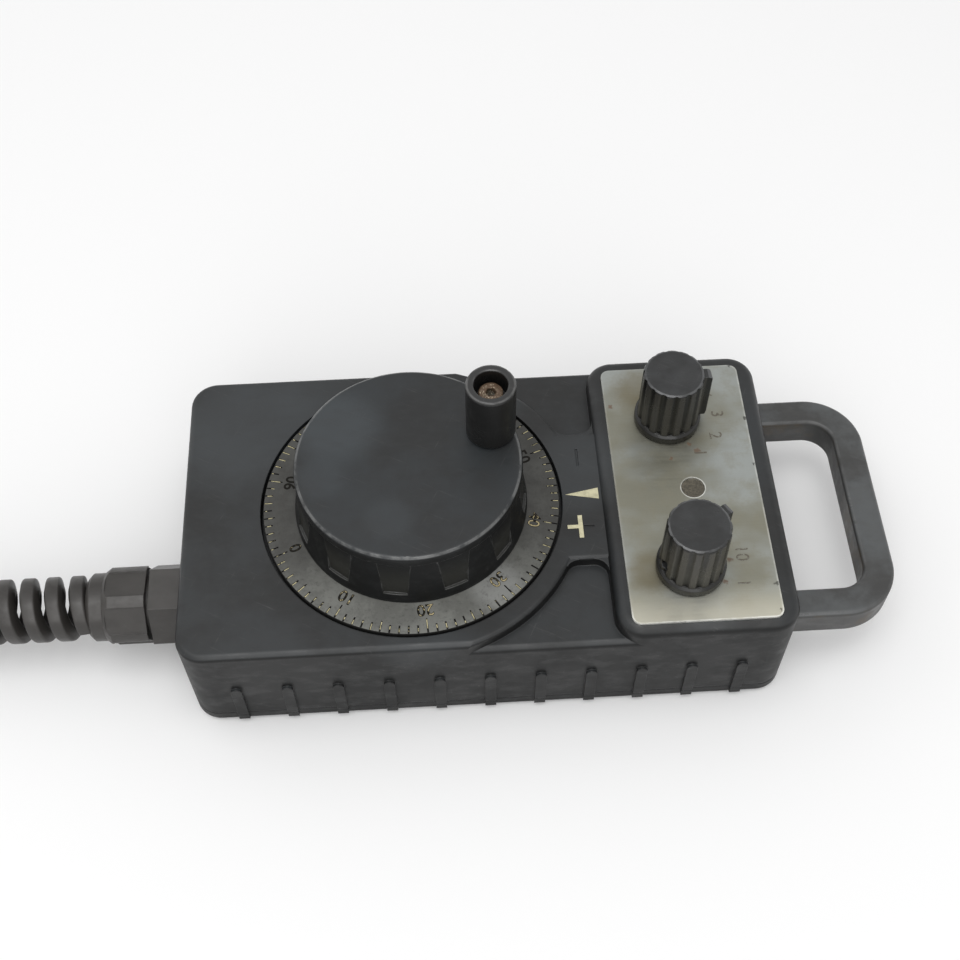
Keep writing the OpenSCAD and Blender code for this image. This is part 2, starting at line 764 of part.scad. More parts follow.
// Fluted selector knob whose nose points along +X
module selector_knob() {
  difference() {
    union() {
      rotate_extrude()
        polygon([[0, 0], [knob_foot_radius - 0.15, 0], [knob_foot_radius, 0.15],
                 [knob_foot_radius, knob_foot - 0.5], [knob_foot_radius - 0.5, knob_foot],
                 [knob_top_radius, knob_height - 0.6], [knob_top_radius - 0.18, knob_height - 0.18],
                 [knob_top_radius - 0.6, knob_height], [0, knob_height]]);
      intersection() {
        translate([nose_reach / 2, 0, 0])
          linear_extrude(knob_height) rounded_rect(nose_reach, nose_width, 0.6);
        translate([0, nose_width, 0]) rotate([90, 0, 0]) linear_extrude(2 * nose_width) nose_side();
      }
    }
    for (i = [0 : flute_count - 1])
      if (i > 0)
        rotate([0, 0, i * 360 / flute_count])
          translate([knob_foot_radius + 0.22, 0, knob_foot])
            rotate([0, -atan2(knob_foot_radius - 0.5 - knob_top_radius, knob_height - knob_foot), 0])
              cylinder(h = knob_height, r = flute_radius);
    translate([0, 0, -1]) cylinder(h = 1 + knob_recess_depth, r = switch_nut_radius + 0.3);
    translate([0, 0, -1]) cylinder(h = knob_height - 1.9, r = switch_shaft_radius + 0.01);
    rotate([0, 0, set_screw_angle]) translate([0, 0, knob_screw_height])
      rotate([0, 90, 0]) cylinder(h = 10, r = knob_screw_radius);
  }
}

module axis_knob() {
  color("#2b2c2f")
    translate([knob_x, axis_knob_y, knob_z]) rotate([0, 0, axis_nose_angle]) selector_knob();
}

module step_knob() {
  color("#2b2c2f")
    translate([knob_x, step_knob_y, knob_z]) rotate([0, 0, step_nose_angle]) selector_knob();
}

// Set screw of a selector knob, seated on the shaft
module knob_set_screw() {
  rotate([0, 0, set_screw_angle])
    translate([switch_shaft_radius, 0, knob_screw_height])
      rotate([0, 90, 0])
        difference() {
          cylinder(h = 2.2, r = knob_screw_radius - 0.01);
          translate([-2, -0.2, 1.6]) cube([4, 0.4, 2]);
        }
}

module axis_set_screw() {
  color("#6a6a68")
    translate([knob_x, axis_knob_y, knob_z]) rotate([0, 0, axis_nose_angle]) knob_set_screw();
}

module step_set_screw() {
  color("#6a6a68")
    translate([knob_x, step_knob_y, knob_z]) rotate([0, 0, step_nose_angle]) knob_set_screw();
}

// ---- handle -----------------------------------------------------------------------------------

// Section of the handle's band, its X pointing out of the loop
module band_section() {
  translate([0, handle_z]) rounded_rect(handle_band, handle_thickness, handle_round);
}

module carry_handle() {
  bend = handle_corner - handle_band / 2;
  bend_x = x1 + handle_reach - handle_corner;
  bend_y = handle_width / 2 - handle_corner;
  color("#45474c")
    difference() {
      union() {
        for (m = [0, 1])
          mirror([0, m, 0]) {
            translate([x1, bend_y + bend, 0]) rotate([90, 0, 90]) linear_extrude(bend_x - x1) band_section();
            translate([bend_x, bend_y, 0])
              rotate_extrude(angle = 90) translate([bend, 0]) band_section();
          }
        translate([bend_x + bend, bend_y, 0]) rotate([90, 0, 0]) linear_extrude(2 * bend_y) band_section();
      }
      for (y = [-handle_screw_y, handle_screw_y])
        bar_x(x1 - 1, x1 + 8.2, screw_radius, y, handle_z);
    }
}

module handle_screws() {
  color("#8a8d90")
    for (y = [-handle_screw_y, handle_screw_y])
      difference() {
        union() {
          bar_x(x1 - wall - screw_head_height, x1 - wall, screw_head, y, handle_z);
          bar_x(x1 - wall - 1, x1 + 8, screw_radius, y, handle_z);
        }
        translate([x1 - wall - screw_head_height - 1, y - 0.25, handle_z - 1.5]) cube([1.8, 0.5, 3]);
      }
}

// ---- handwheel --------------------------------------------------------------------------------

// Outline of a finger flat, seen square to the skirt
module finger_outline() {
  polygon([[-flat_foot_width / 2, ledge_height], [flat_foot_width / 2, ledge_height],
           [flat_top_width / 2, wheel_top - rim_thickness],
           [-flat_top_width / 2, wheel_top - rim_thickness]]);
}

// Places its child at each finger flat, its X pointing out and its Z up
module at_flats() {
  for (i = [0 : flat_count - 1])
    rotate([0, 0, flat_angle + i * 360 / flat_count]) children();
}

// Block of a finger flat's outline between two distances from the axis
module finger_block(ra, rb) {
  translate([ra, 0, 0]) rotate([90, 0, 90]) linear_extrude(rb - ra) finger_outline();
}

// Wedge whose outer face is the sloping finger flat
module finger_wedge() {
  tilt = atan2(flat_top_radius - flat_foot_radius, wheel_top - rim_thickness - ledge_height);
  difference() {
    finger_block(skirt_inner + 0.2, wheel_foot_radius);
    translate([flat_foot_radius, -5, ledge_height])
      rotate([0, tilt, 0]) translate([0, 0, -5]) cube([6, 10, 20]);
  }
}

module handwheel() {
  color("#3c3e42")
    difference() {
      union() {
        difference() {
          rotate_extrude() {
            polygon([[skirt_inner, ring_seat_height], [wheel_foot_radius, ring_seat_height],
                     [wheel_foot_radius, ring_seat_height + 0.8],
                     [wheel_neck_radius, wheel_top - rim_thickness],
                     [wheel_radius, wheel_top - rim_thickness], [wheel_radius, wheel_top - rim_round],
                     [wheel_radius - rim_round, wheel_top - rim_round], [wheel_radius - rim_round, wheel_top],
                     [0, wheel_top], [0, wheel_under], [skirt_inner, wheel_under]]);
            translate([wheel_radius - rim_round, wheel_top - rim_round]) circle(rim_round);
          }
          at_flats() finger_block(skirt_inner + 0.6, wheel_foot_radius + 3);
        }
        at_flats() finger_wedge();
        translate([0, 0, ring_seat_height - 1]) cylinder(h = wheel_top - ring_seat_height, r = hub_radius);
        for (a = ring_screw_angles)
          rotate([0, 0, a]) translate([ring_screw_circle, 0, ring_seat_height])
            cylinder(h = wheel_height - 1, r = ring_screw_radius + 1.3);
        translate([grip_x, grip_y, wheel_top - 9]) cylinder(h = 8, r = grip_screw_radius + 1.5);
      }
      translate([0, 0, ring_seat_height - 3])
        cylinder(h = wheel_height - 0.5, r = shaft_radius + 0.01);
      rotate([0, 0, flat_angle + 90]) translate([0, 0, hub_screw_z])
        rotate([0, 90, 0]) cylinder(h = 30, r = hub_screw_radius);
      for (a = ring_screw_angles)
        rotate([0, 0, a]) translate([ring_screw_circle, 0, ring_seat_height - 1])
          cylinder(h = ring_screw_grip + 2, r = ring_screw_radius);
      translate([grip_x, grip_y, wheel_top - 7]) cylinder(h = 9, r = grip_screw_radius);
    }
}

// Engraved division line number i
module division_line(i) {
  len = i % 10 == 0 ? line_long : i % 5 == 0 ? line_middle : line_short;
  rotate([0, 0, zero_angle + i * 360 / divisions])
    translate([ring_radius - 0.15 - len, -line_width / 2, ring_edge_height - 0.2])
      cube([len, line_width, 3]);
}

module dial_ring() {
  color("#4a4c50")
    difference() {
      rotate_extrude()
        polygon([[ring_inner_radius, ring_bottom], [ring_radius, ring_bottom],
                 [ring_radius, ring_edge_height - 0.15], [ring_radius - 0.15, ring_edge_height],
                 [wheel_foot_radius + 0.1, ring_seat_height], [ring_inner_radius, ring_seat_height]]);
      for (i = [0 : divisions - 1])
        division_line(i);
      for (a = ring_screw_angles)
        rotate([0, 0, a]) translate([ring_screw_circle, 0, ring_bottom - 0.7]) {
          cylinder(h = ring_thickness + 2, r = ring_screw_radius + 0.1);
          cylinder(h = 1.9, r = ring_screw_head + 0.1);
        }
    }
}

module ring_screws() {
  color("#8a8d90")
    for (a = ring_screw_angles)
      rotate([0, 0, a]) translate([ring_screw_circle, 0, ring_bottom])
        difference() {
          union() {
            translate([0, 0, 0.1]) cylinder(h = 1.1, r = ring_screw_head);
            translate([0, 0, 0.3]) cylinder(h = ring_thickness + ring_screw_grip, r = ring_screw_radius);
          }
          translate([-2.5, -0.2, -0.7]) cube([5, 0.4, 1.2]);
        }
}

module hub_set_screw() {
  color("#6a6a68")
    rotate([0, 0, flat_angle + 90])
      translate([shaft_radius, 0, hub_screw_z])
        rotate([0, 90, 0])
          difference() {
            cylinder(h = 3.2, r = hub_screw_radius - 0.01);
            translate([0, 0, 1.6]) cylinder(h = 3, r = 0.85, $fn = 6);
          }
}

module crank_grip() {
  color("#323336")
    translate([grip_x, grip_y, 0])
      rotate_extrude()
        polygon([[sleeve_radius + grip_clearance, grip_bottom], [grip_radius - 0.3, grip_bottom],
                 [grip_radius, grip_bottom + 0.3], [grip_radius, grip_top - 0.5],
                 [grip_radius - 0.15, grip_top - 0.15], [grip_radius - 0.5, grip_top],
                 [grip_hollow_radius + 0.2, grip_top], [grip_hollow_radius, grip_top - 0.2],
                 [grip_hollow_radius, grip_shoulder], [sleeve_radius + grip_clearance, grip_shoulder]]);
}

module crank_sleeve() {
  color("#a9a79c")
    translate([grip_x, grip_y, wheel_top])
      difference() {
        cylinder(h = screw_seat - wheel_top, r = sleeve_radius);
        translate([0, 0, -1]) cylinder(h = grip_length + 2, r = grip_screw_radius);
      }
}

module crank_screw() {
  color("#8b6f5a")
    translate([grip_x, grip_y, 0])
      difference() {
        union() {
          translate([0, 0, screw_seat]) cylinder(h = grip_screw_head_height, r = grip_screw_head);
          translate([0, 0, wheel_top - 6.5]) cylinder(h = screw_seat - wheel_top + 7, r = grip_screw_radius);
        }
        translate([0, 0, screw_seat + 1.2]) cylinder(h = 3, r = grip_screw_head / 2, $fn = 6);
      }
}

// ---- encoder ----------------------------------------------------------------------------------

module encoder_shaft() {
  color("#b4b2aa")
    translate([0, 0, encoder_bottom + 2.6])
      cylinder(h = wheel_top - 3.6 - encoder_bottom - 2.6, r = shaft_radius);
}

module encoder_disc() {
  color("#c9ccd0")
    difference() {
      translate([0, 0, encoder_bottom + 3]) {
        translate([0, 0, 1.2]) cylinder(h = encoder_disc_thickness, r = encoder_disc_radius);
        cylinder(h = 2.6, r = encoder_bush_radius);
      }
      cylinder(h = wheel_top, r = shaft_radius);
      for (i = [0 : 24])
        rotate([0, 0, i * 14.4]) translate([encoder_disc_radius - 4, -0.5, encoder_bottom]) cube([2.6, 1, 9]);
    }
}

module encoder_body() {
  color("#303236")
    difference() {
      union() {
        translate([0, 0, encoder_bottom]) cylinder(h = encoder_depth, r = encoder_radius);
        translate([0, 0, ceiling - 1]) cylinder(h = bush_top - ceiling + 1, r = encoder_neck);
      }
      translate([0, 0, encoder_bottom - 1]) cylinder(h = encoder_roof - encoder_bottom + 1, r = encoder_bore);
      translate([0, 0, encoder_bottom]) cylinder(h = encoder_depth + 20, r = encoder_bush_radius);
      for (a = encoder_screw_angles)
        rotate([0, 0, a]) translate([encoder_screw_circle, 0, ceiling - 4.5])
          cylinder(h = 8, r = screw_radius);
    }
}

module encoder_cover() {
  color("#4b4d50")
    difference() {
      translate([0, 0, encoder_bottom]) cylinder(h = 1, r = encoder_bore - 0.05);
      for (a = [0, 90, 180, 270])
        rotate([0, 0, a]) translate([encoder_disc_radius - 2, 0, encoder_bottom - 1])
          cylinder(h = 3, r = 0.8);
    }
}

module encoder_bushes() {
  color("#b08d57")
    for (z = [encoder_roof + 0.2, bush_top - encoder_bush_length])
      translate([0, 0, z])
        difference() {
          cylinder(h = encoder_bush_length, r = encoder_bush_radius);
          translate([0, 0, -1]) cylinder(h = encoder_bush_length + 2, r = shaft_radius + shaft_clearance);
        }
}

module encoder_board() {
  color("#2e5a3a")
    union() {
      translate([0, 0, encoder_bottom + 1]) cylinder(h = 1, r = encoder_bore - 0.2);
      translate([encoder_disc_radius - 4.8, -3, encoder_bottom + 1.5]) cube([4.4, 6, 1.9]);
    }
}

module encoder_screws() {
  color("#8a8d90")
    for (a = encoder_screw_angles)
      rotate([0, 0, a]) translate([encoder_screw_circle, 0, 0])
        difference() {
          union() {
            translate([0, 0, well_floor]) cylinder(h = screw_head_height, r = screw_head);
            translate([0, 0, ceiling - 4]) cylinder(h = well_floor - ceiling + 4.5, r = screw_radius);
          }
          for (b = [0, 90])
            rotate([0, 0, b]) translate([-1.5, -0.3, well_floor + 0.8]) cube([3, 0.6, 2]);
        }
}

// ---- circuit board ----------------------------------------------------------------------------

module circuit_board() {
  color("#2e5a3a")
    difference() {
      union() {
        translate([(board_x0 + board_x1) / 2, 0, board_height])
          linear_extrude(board_thickness) rounded_rect(board_x1 - board_x0, 2 * board_y, 2);
        translate([encoder_radius + 4, 6, board_height + 0.5]) cube([8, 8, board_thickness + 0.8]);
        translate([encoder_radius + 4, -14, board_height + 0.5]) cube([6, 10, board_thickness + 0.8]);
      }
      at_posts() translate([0, 0, board_height - 1]) cylinder(h = 4, r = post_screw_radius + 0.3);
    }
}

module board_screws() {
  color("#8a8d90")
    at_posts()
      difference() {
        union() {
          translate([0, 0, board_top]) cylinder(h = 1.3, r = post_head);
          translate([0, 0, wall]) cylinder(h = board_top - wall + 0.4, r = post_screw_radius);
        }
        translate([-2.5, -0.2, board_top + 0.7]) cube([5, 0.4, 1]);
      }
}

module terminal_block() {
  pole = terminal_length / 5;
  color("#3f7a52")
    difference() {
      translate([board_x0 - 0.5, terminal_y, board_top]) cube([terminal_width, terminal_length, terminal_height]);
      for (i = [0 : 4])
        translate([board_x0 - 0.5 + terminal_width / 2, terminal_y + (i + 0.5) * pole, board_top]) {
          translate([0, 0, terminal_height / 2]) cylinder(h = 10, r = 0.3 * pole);
          translate([-terminal_width / 2 - 2, -0.25 * pole, 1]) cube([3, 0.5 * pole, terminal_height / 3]);
        }
    }
}

// ---- cable gland ------------------------------------------------------------------------------

module gland_body() {
  color("#33353a")
    difference() {
      union() {
        hex_x(gland_face, x0 - washer_thickness, gland_flats, gland_y, gland_z);
        bar_x(gland_face - 6, x0 + wall + locknut_thickness + 1.8, gland_thread, gland_y, gland_z);
      }
      bar_x(gland_face - 7, x0 + 20, cable_radius + 0.6, gland_y, gland_z);
      bar_x(gland_face - 7, seal_end, seal_radius, gland_y, gland_z);
    }
}

module gland_washer() {
  color("#151515")
    difference() {
      bar_x(x0 - washer_thickness, x0, gland_flats / 2 - 0.1, gland_y, gland_z);
      bar_x(x0 - 2, x0 + 2, gland_thread, gland_y, gland_z);
    }
}

module gland_locknut() {
  color("#9a9c9e")
    difference() {
      hex_x(x0 + wall, x0 + wall + locknut_thickness, gland_flats, gland_y, gland_z);
      bar_x(x0 + wall - 1, x0 + wall + locknut_thickness + 1, gland_thread, gland_y, gland_z);
    }
}

module gland_seal() {
  color("#202020")
    difference() {
      bar_x(gland_face - 6, seal_end, seal_radius, gland_y, gland_z);
      bar_x(gland_face - 8, seal_end + 2, cable_radius, gland_y, gland_z);
    }
}

module gland_dome_nut() {
  color("#2d2f33")
    difference() {
      union() {
        difference() {
          translate([dome_end, gland_y, gland_z]) rotate([0, 90, 0])
            rotate_extrude()
              polygon([[0, 0], [dome_radius - 1, 0], [dome_radius, 1.3], [dome_radius, dome_length],
                       [0, dome_length]]);
          for (i = [0 : 5])
            translate([dome_end + 0.6, gland_y, gland_z]) rotate([-dome_turn - 30 - i * 60, 0, 0])
              translate([0, -dome_flat - 3, -dome_flat_width / 2]) cube([dome_length, 3, dome_flat_width]);
        }
        translate([collar_end, gland_y, gland_z]) rotate([0, 90, 0])
          rotate_extrude()
            polygon([[0, 0], [collar_radius - 0.8, 0], [collar_radius, 0.8],
                     [collar_radius, collar_length + 0.5], [0, collar_length + 0.5]]);
      }
      bar_x(dome_end + 2, dome_start + 1, gland_thread, gland_y, gland_z);
      bar_x(collar_end - 1, dome_start + 1, cable_radius + 0.6, gland_y, gland_z);
    }
}

// Cross-cut of the spiral's strand, square to the gland's axis
module strand_cut() {
  half = 180 * spiral_strand / spiral_pitch;
  polygon(concat(
    [for (i = [-3 : 3]) [spiral_inner * cos(half * i / 3), spiral_inner * sin(half * i / 3)]],
    [[(spiral_radius - 0.7) * cos(half), (spiral_radius - 0.7) * sin(half)]],
    [for (i = [3 : -1 : -3]) [spiral_radius * cos(half * i / 4), spiral_radius * sin(half * i / 4)]],
    [[(spiral_radius - 0.7) * cos(half), -(spiral_radius - 0.7) * sin(half)]]));
}

module gland_spiral() {
  color("#2b2d31")
    translate([collar_end - spiral_turns * spiral_pitch + 0.6, gland_y, gland_z]) rotate([0, 90, 0])
      linear_extrude(height = spiral_turns * spiral_pitch, twist = -360 * spiral_turns,
                     slices = spiral_turns * 16, $fn = 16)
        strand_cut();
}

front_case();
back_cover();
case_gasket();
case_screws();
index_marks();
panel_plate();
indicator_lens();
indicator_lamp();
carry_handle();
handle_screws();
handwheel();
dial_ring();
ring_screws();
hub_set_screw();
crank_grip();
crank_sleeve();
crank_screw();
encoder_shaft();
encoder_disc();
encoder_body();
encoder_cover();
encoder_bushes();
encoder_board();
encoder_screws();
axis_knob();
axis_shaft();
axis_set_screw();
axis_switch();
step_knob();
step_shaft();
step_set_screw();
step_switch();
switch_nuts();
circuit_board();
board_screws();
terminal_block();
gland_body();
gland_locknut();
gland_washer();
gland_seal();
gland_dome_nut();
gland_spiral();
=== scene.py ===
# %% [markdown]
# # A pulse generator handwheel
# This notebook dresses a finished CAD model: a hand case with a cranked wheel, two selector knobs and a
# cable gland. The CAD solids stay exactly where they are. They get materials, and where a real part has
# finer shapes than its solid, a Blender piece takes its place.

# %% Load the CAD frame
import math

import bpy
import bmesh
from mathutils import Matrix, Vector, noise


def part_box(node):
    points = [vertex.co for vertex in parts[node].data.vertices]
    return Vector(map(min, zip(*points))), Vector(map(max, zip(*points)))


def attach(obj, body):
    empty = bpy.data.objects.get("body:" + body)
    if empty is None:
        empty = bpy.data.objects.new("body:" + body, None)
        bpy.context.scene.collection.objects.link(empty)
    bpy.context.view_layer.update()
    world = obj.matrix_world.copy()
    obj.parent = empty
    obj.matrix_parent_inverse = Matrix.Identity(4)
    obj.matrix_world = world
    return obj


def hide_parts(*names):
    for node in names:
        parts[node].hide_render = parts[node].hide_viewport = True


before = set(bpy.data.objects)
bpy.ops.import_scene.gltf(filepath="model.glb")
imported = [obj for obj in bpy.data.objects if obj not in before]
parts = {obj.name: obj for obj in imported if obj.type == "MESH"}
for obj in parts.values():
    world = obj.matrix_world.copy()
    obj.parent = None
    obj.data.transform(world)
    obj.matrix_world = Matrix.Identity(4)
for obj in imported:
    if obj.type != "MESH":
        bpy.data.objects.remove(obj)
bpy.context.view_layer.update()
MM = 0.001


def corners(node):
    """Lowest and highest corner of a CAD node at rest, in millimetres."""
    low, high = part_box(node)
    return low / MM, high / MM


def middle(node):
    """Centre of a CAD node's box at rest, in millimetres."""
    low, high = corners(node)
    return (low + high) / 2


# %% [markdown]
# ## Camera
# The case lies flat and is looked at steeply from the near long side. A camera is placed by its position
# and three turns: tilt about X, a touch of roll about Y, and swing about Z.

# %% Camera
camera_data = bpy.data.cameras.new("camera")
camera = bpy.data.objects.new("camera", camera_data)
bpy.context.scene.collection.objects.link(camera)
camera.location = (6.81 * MM, -152.54 * MM, 262.97 * MM)
camera.rotation_euler = [math.radians(a) for a in (33.691, 0.261, -3.279)]
camera_data.sensor_width = 36
camera_data.lens = 52.1
camera_data.shift_x = -0.0033
camera_data.shift_y = 0.0004
camera_data.clip_start = 0.01
bpy.context.scene.camera = camera
print("camera at", [round(c, 4) for c in camera.location])

# %% [markdown]
# ## Helpers for node materials
# Every finish below is a small node tree. Writing `add(tree, kind, inputs)` once keeps each tree short:
# a value in `inputs` that is a socket gets linked, and any other value is set on the input itself. All
# lengths in a finish are millimetres, because `place` gives object coordinates in millimetres.


# %% Nodes and coordinates
def add(tree, kind, inputs=None, **settings):
    """A new node of that kind, with its settings made and its inputs linked or set."""
    made = tree.nodes.new(kind)
    for key, value in settings.items():
        setattr(made, key, value)
    for key, value in (inputs or {}).items():
        if isinstance(value, bpy.types.NodeSocket):
            tree.links.new(value, made.inputs[key])
        else:
            made.inputs[key].default_value = value
    return made


def place(tree, scale=(1, 1, 1), turn=0.0):
    """Object coordinates in millimetres, turned about Z and stretched."""
    where = add(tree, "ShaderNodeTexCoord").outputs["Object"]
    if turn:
        spin = {"Vector": where, "Angle": turn}
        where = add(tree, "ShaderNodeVectorRotate", spin, rotation_type="Z_AXIS").outputs[0]
    size = tuple(s / MM for s in scale)
    return add(tree, "ShaderNodeMapping", {"Vector": where, "Scale": size}).outputs[0]


def along(tree, where, axis):
    """X, Y or Z of a vector, for axis 0, 1 or 2."""
    return add(tree, "ShaderNodeSeparateXYZ", {0: where}).outputs[axis]


def speckle(tree, where, scale, detail=4.0, rough=0.55):
    """Noise between 0 and 1; scale is the number of its waves in a millimetre."""
    return add(tree, "ShaderNodeTexNoise",
               {"Vector": where, "Scale": scale, "Detail": detail, "Roughness": rough}).outputs["Fac"]


print("helpers: add, place, along, speckle")


# %% Values and colours
def between(tree, value, low, high, out_low=0.0, out_high=1.0):
    """Value rescaled from low..high to out_low..out_high with soft ends."""
    return add(tree, "ShaderNodeMapRange",
               {"Value": value, "From Min": low, "From Max": high, "To Min": out_low, "To Max": out_high},
               interpolation_type="SMOOTHSTEP").outputs[0]


def calc(tree, operation, a, b=0.0, clamp=False):
    """One sum of two values, each a socket or a number."""
    return add(tree, "ShaderNodeMath", {0: a, 1: b}, operation=operation, use_clamp=clamp).outputs[0]


def times(tree, product, *factors):
    """The product of several values."""
    for factor in factors:
        product = calc(tree, "MULTIPLY", product, factor)
    return product


def vector(tree, operation, a, b=(0, 0, 0)):
    """One sum of two vectors: a number for a distance, a length or a dot product, else a vector."""
    made = add(tree, "ShaderNodeVectorMath", {0: a, 1: b}, operation=operation)
    number = operation in ("DISTANCE", "LENGTH", "DOT_PRODUCT")
    return made.outputs["Value" if number else "Vector"]


def blend_colour(tree, amount, under, over):
    """The colour under, covered by the colour over as far as amount says."""
    made = add(tree, "ShaderNodeMix", {0: amount}, data_type="RGBA")
    for key, value in ((6, under), (7, over)):
        if isinstance(value, bpy.types.NodeSocket):
            tree.links.new(value, made.inputs[key])
        else:
            made.inputs[key].default_value = (*value, 1)
    return made.outputs[2]


def scaled(colour, factor):
    """A colour made lighter or darker by a factor."""
    return tuple(c * factor for c in colour)


print("helpers: between, calc, times, vector, blend_colour, scaled")


# %% Normals and angles
def relief(tree, height, depth_mm, under=None):
    """A normal that follows a height of 0 to 1 over a depth, on top of the normal under it."""
    inputs = {"Height": height, "Distance": depth_mm * MM, "Strength": 1.0}
    if under is not None:
        inputs["Normal"] = under
    return add(tree, "ShaderNodeBump", inputs).outputs[0]


def softened(tree, radius_mm, samples=6):
    """The surface's normal with its edges rounded by a radius."""
    return add(tree, "ShaderNodeBevel", {"Radius": radius_mm * MM}, samples=samples).outputs[0]


def surface_normal(tree):
    """The surface's plain normal."""
    return add(tree, "ShaderNodeNewGeometry").outputs["Normal"]


def solid_edges(tree, radius_mm):
    """1 along the edges of a solid, 0 on its faces: the rounded normal is compared with the plain one."""
    same = vector(tree, "DOT_PRODUCT", softened(tree, radius_mm), surface_normal(tree))
    return between(tree, calc(tree, "SUBTRACT", 1.0, same), 0.02, 0.12)


def from_axis(tree):
    """Distance from the wheel's axis, in millimetres."""
    return vector(tree, "LENGTH", vector(tree, "MULTIPLY", place(tree), (1, 1, 0)))


def off_beat(tree, first, step):
    """Angle about the wheel's axis to the nearest of first, first + step and so on; never negative."""
    where = place(tree)
    turn = calc(tree, "SUBTRACT", calc(tree, "ARCTAN2", along(tree, where, 1), along(tree, where, 0)), first)
    share = calc(tree, "DIVIDE", turn, step)
    off = calc(tree, "ABSOLUTE", calc(tree, "SUBTRACT", share, calc(tree, "ROUND", share)))
    return times(tree, off, step)


print("helpers: relief, softened, surface_normal, solid_edges, from_axis, off_beat")


# %% Materials
def finish(name):
    """A new material: (material, its tree, its main shader)."""
    made = bpy.data.materials.new(name)
    made.use_nodes = True
    tree = made.node_tree
    tree.nodes.clear()
    shader = add(tree, "ShaderNodeBsdfPrincipled")
    add(tree, "ShaderNodeOutputMaterial", {"Surface": shader.outputs[0]})
    return made, tree, shader


def dress(tree, shader, **sockets):
    """Links sockets to the shader's inputs; Base_Color=tint stands for the input called Base Color."""
    for key, socket in sockets.items():
        tree.links.new(socket, shader.inputs[key.replace("_", " ")])


def use(material, *names):
    """Gives a material to CAD nodes."""
    for name in names:
        slots = parts[name].data.materials
        slots.clear()
        slots.append(material)


print("helpers: finish, dress, use")

# %% [markdown]
# ## Marks of wear and painted light
# Wear comes in a few kinds that every finish shares: ragged patches about a point, fine straight
# scratches, tiny specks, and shoulders that hands have worn smooth. Ragged patches and shoulders also
# carry painted sheen, painted highlights and painted shade.


# %% Kinds of wear and painted light
def disc(tree, where, centre, radius):
    """1 within radius of a point (millimetres), fading to 0 outside; its outline is ragged."""
    ragged = add(tree, "ShaderNodeTexNoise", {"Vector": where, "Scale": 1.3, "Detail": 3.0}).outputs["Color"]
    bent = vector(tree, "MULTIPLY", vector(tree, "SUBTRACT", ragged, (0.5, 0.5, 0.5)), (1.4, 1.4, 1.4))
    away = vector(tree, "DISTANCE", vector(tree, "ADD", where, bent), centre)
    return between(tree, away, radius * 1.25, radius * 0.5)


def discs(tree, where, spots):
    """1 within any of several discs, each given as (centre, radius)."""
    covered = 0.0
    for centre, radius in spots:
        covered = calc(tree, "MAXIMUM", covered, disc(tree, where, centre, radius))
    return covered


def scratches(tree, turn, density=0.63):
    """Fine straight scratches: noise stretched thirty times along one direction."""
    long_noise = speckle(tree, place(tree, (0.06, 2.4, 1.0), turn), 1.0, 3.0, 0.6)
    return between(tree, long_noise, density, density + 0.05)


def specks(tree, spacing, size, share):
    """Tiny round specks: a cell pattern whose cells each hold one dot, kept in a share of the cells."""
    cells = add(tree, "ShaderNodeTexVoronoi", {"Vector": place(tree), "Scale": 1 / spacing})
    near = between(tree, cells.outputs["Distance"], size / spacing, 0.6 * size / spacing)
    pick = add(tree, "ShaderNodeSeparateColor", {0: cells.outputs["Color"]}).outputs[0]
    return times(tree, near, calc(tree, "LESS_THAN", pick, share))


def rounded_shoulder(tree):
    """1 where a face leans about 20 to 50 degrees from level: a rounding's shoulder, which hands wear smooth
    and which also carries a painted highlight.
    """
    up = along(tree, surface_normal(tree), 2)
    return times(tree, between(tree, up, 0.985, 0.93), between(tree, up, 0.55, 0.68))


print("wear: disc, discs, scratches, specks, rounded_shoulder")

# %% [markdown]
# ## Moulded plastic
# The case is dark grey moulded plastic: a fine spark-eroded grain, greasy patches where hands have
# worn it smooth, cloudy bluish bloom, and pale worn edges and shoulders that also carry a painted
# highlight. Pale patches about a few points are painted sheen, and upright faces are painted darker as
# shade. A plain colour would look like a render, so three sizes of noise are layered: clouds of about
# 20 mm, smears of about 4 mm and a grain of 0.3 mm. Two pieces need more: a knob has painted shade in
# its flutes and on its foot ring and a painted highlight on the ridges between them, and the wheel has
# a painted reflection on the flats where fingers go.

# %% Knob ridges and finger flats
KNOB_AXES = [middle(node) for node in ("axis_switch", "step_switch")]
FOOT_TOP = corners("axis_knob")[0].z + 2.0
FLAT_ANGLE = math.radians(-9)
FLAT_STEP = math.radians(30)
FLAT_FOOT, FLAT_TOP = 30.3, 39.7
FLAT_FOOT_WIDTH, FLAT_TOP_WIDTH = 4.7, 6.5
SKIRT_RADIUS = 22.25
print("knob axes at", [tuple(round(c, 2) for c in axis[:2]) for axis in KNOB_AXES])


def flute_ridge(tree):
    """1 on the ridges between a knob's flutes, 0 in the flutes and on the nose, by distance to its axis."""
    spot = vector(tree, "MULTIPLY", place(tree), (1, 1, 0))
    away = [vector(tree, "DISTANCE", spot, (axis.x, axis.y, 0)) for axis in KNOB_AXES]
    nearest = calc(tree, "MINIMUM", *away)
    return times(tree, between(tree, nearest, 5.95, 6.2), between(tree, nearest, 6.75, 6.5))


def fluted(tree, tint, wall, ridge_colour):
    """A knob's sides: painted shade in the flutes, painted highlights on the paler ridges between them, and
    painted shade on the dark foot ring.
    """
    sides = blend_colour(tree, flute_ridge(tree), scaled(ridge_colour, 0.12), ridge_colour)
    tint = blend_colour(tree, wall, tint, sides)
    foot = between(tree, along(tree, place(tree), 2), FOOT_TOP + 0.3, FOOT_TOP - 0.05, 0.0, 0.85)
    return blend_colour(tree, foot, tint, scaled(ridge_colour, 0.3))


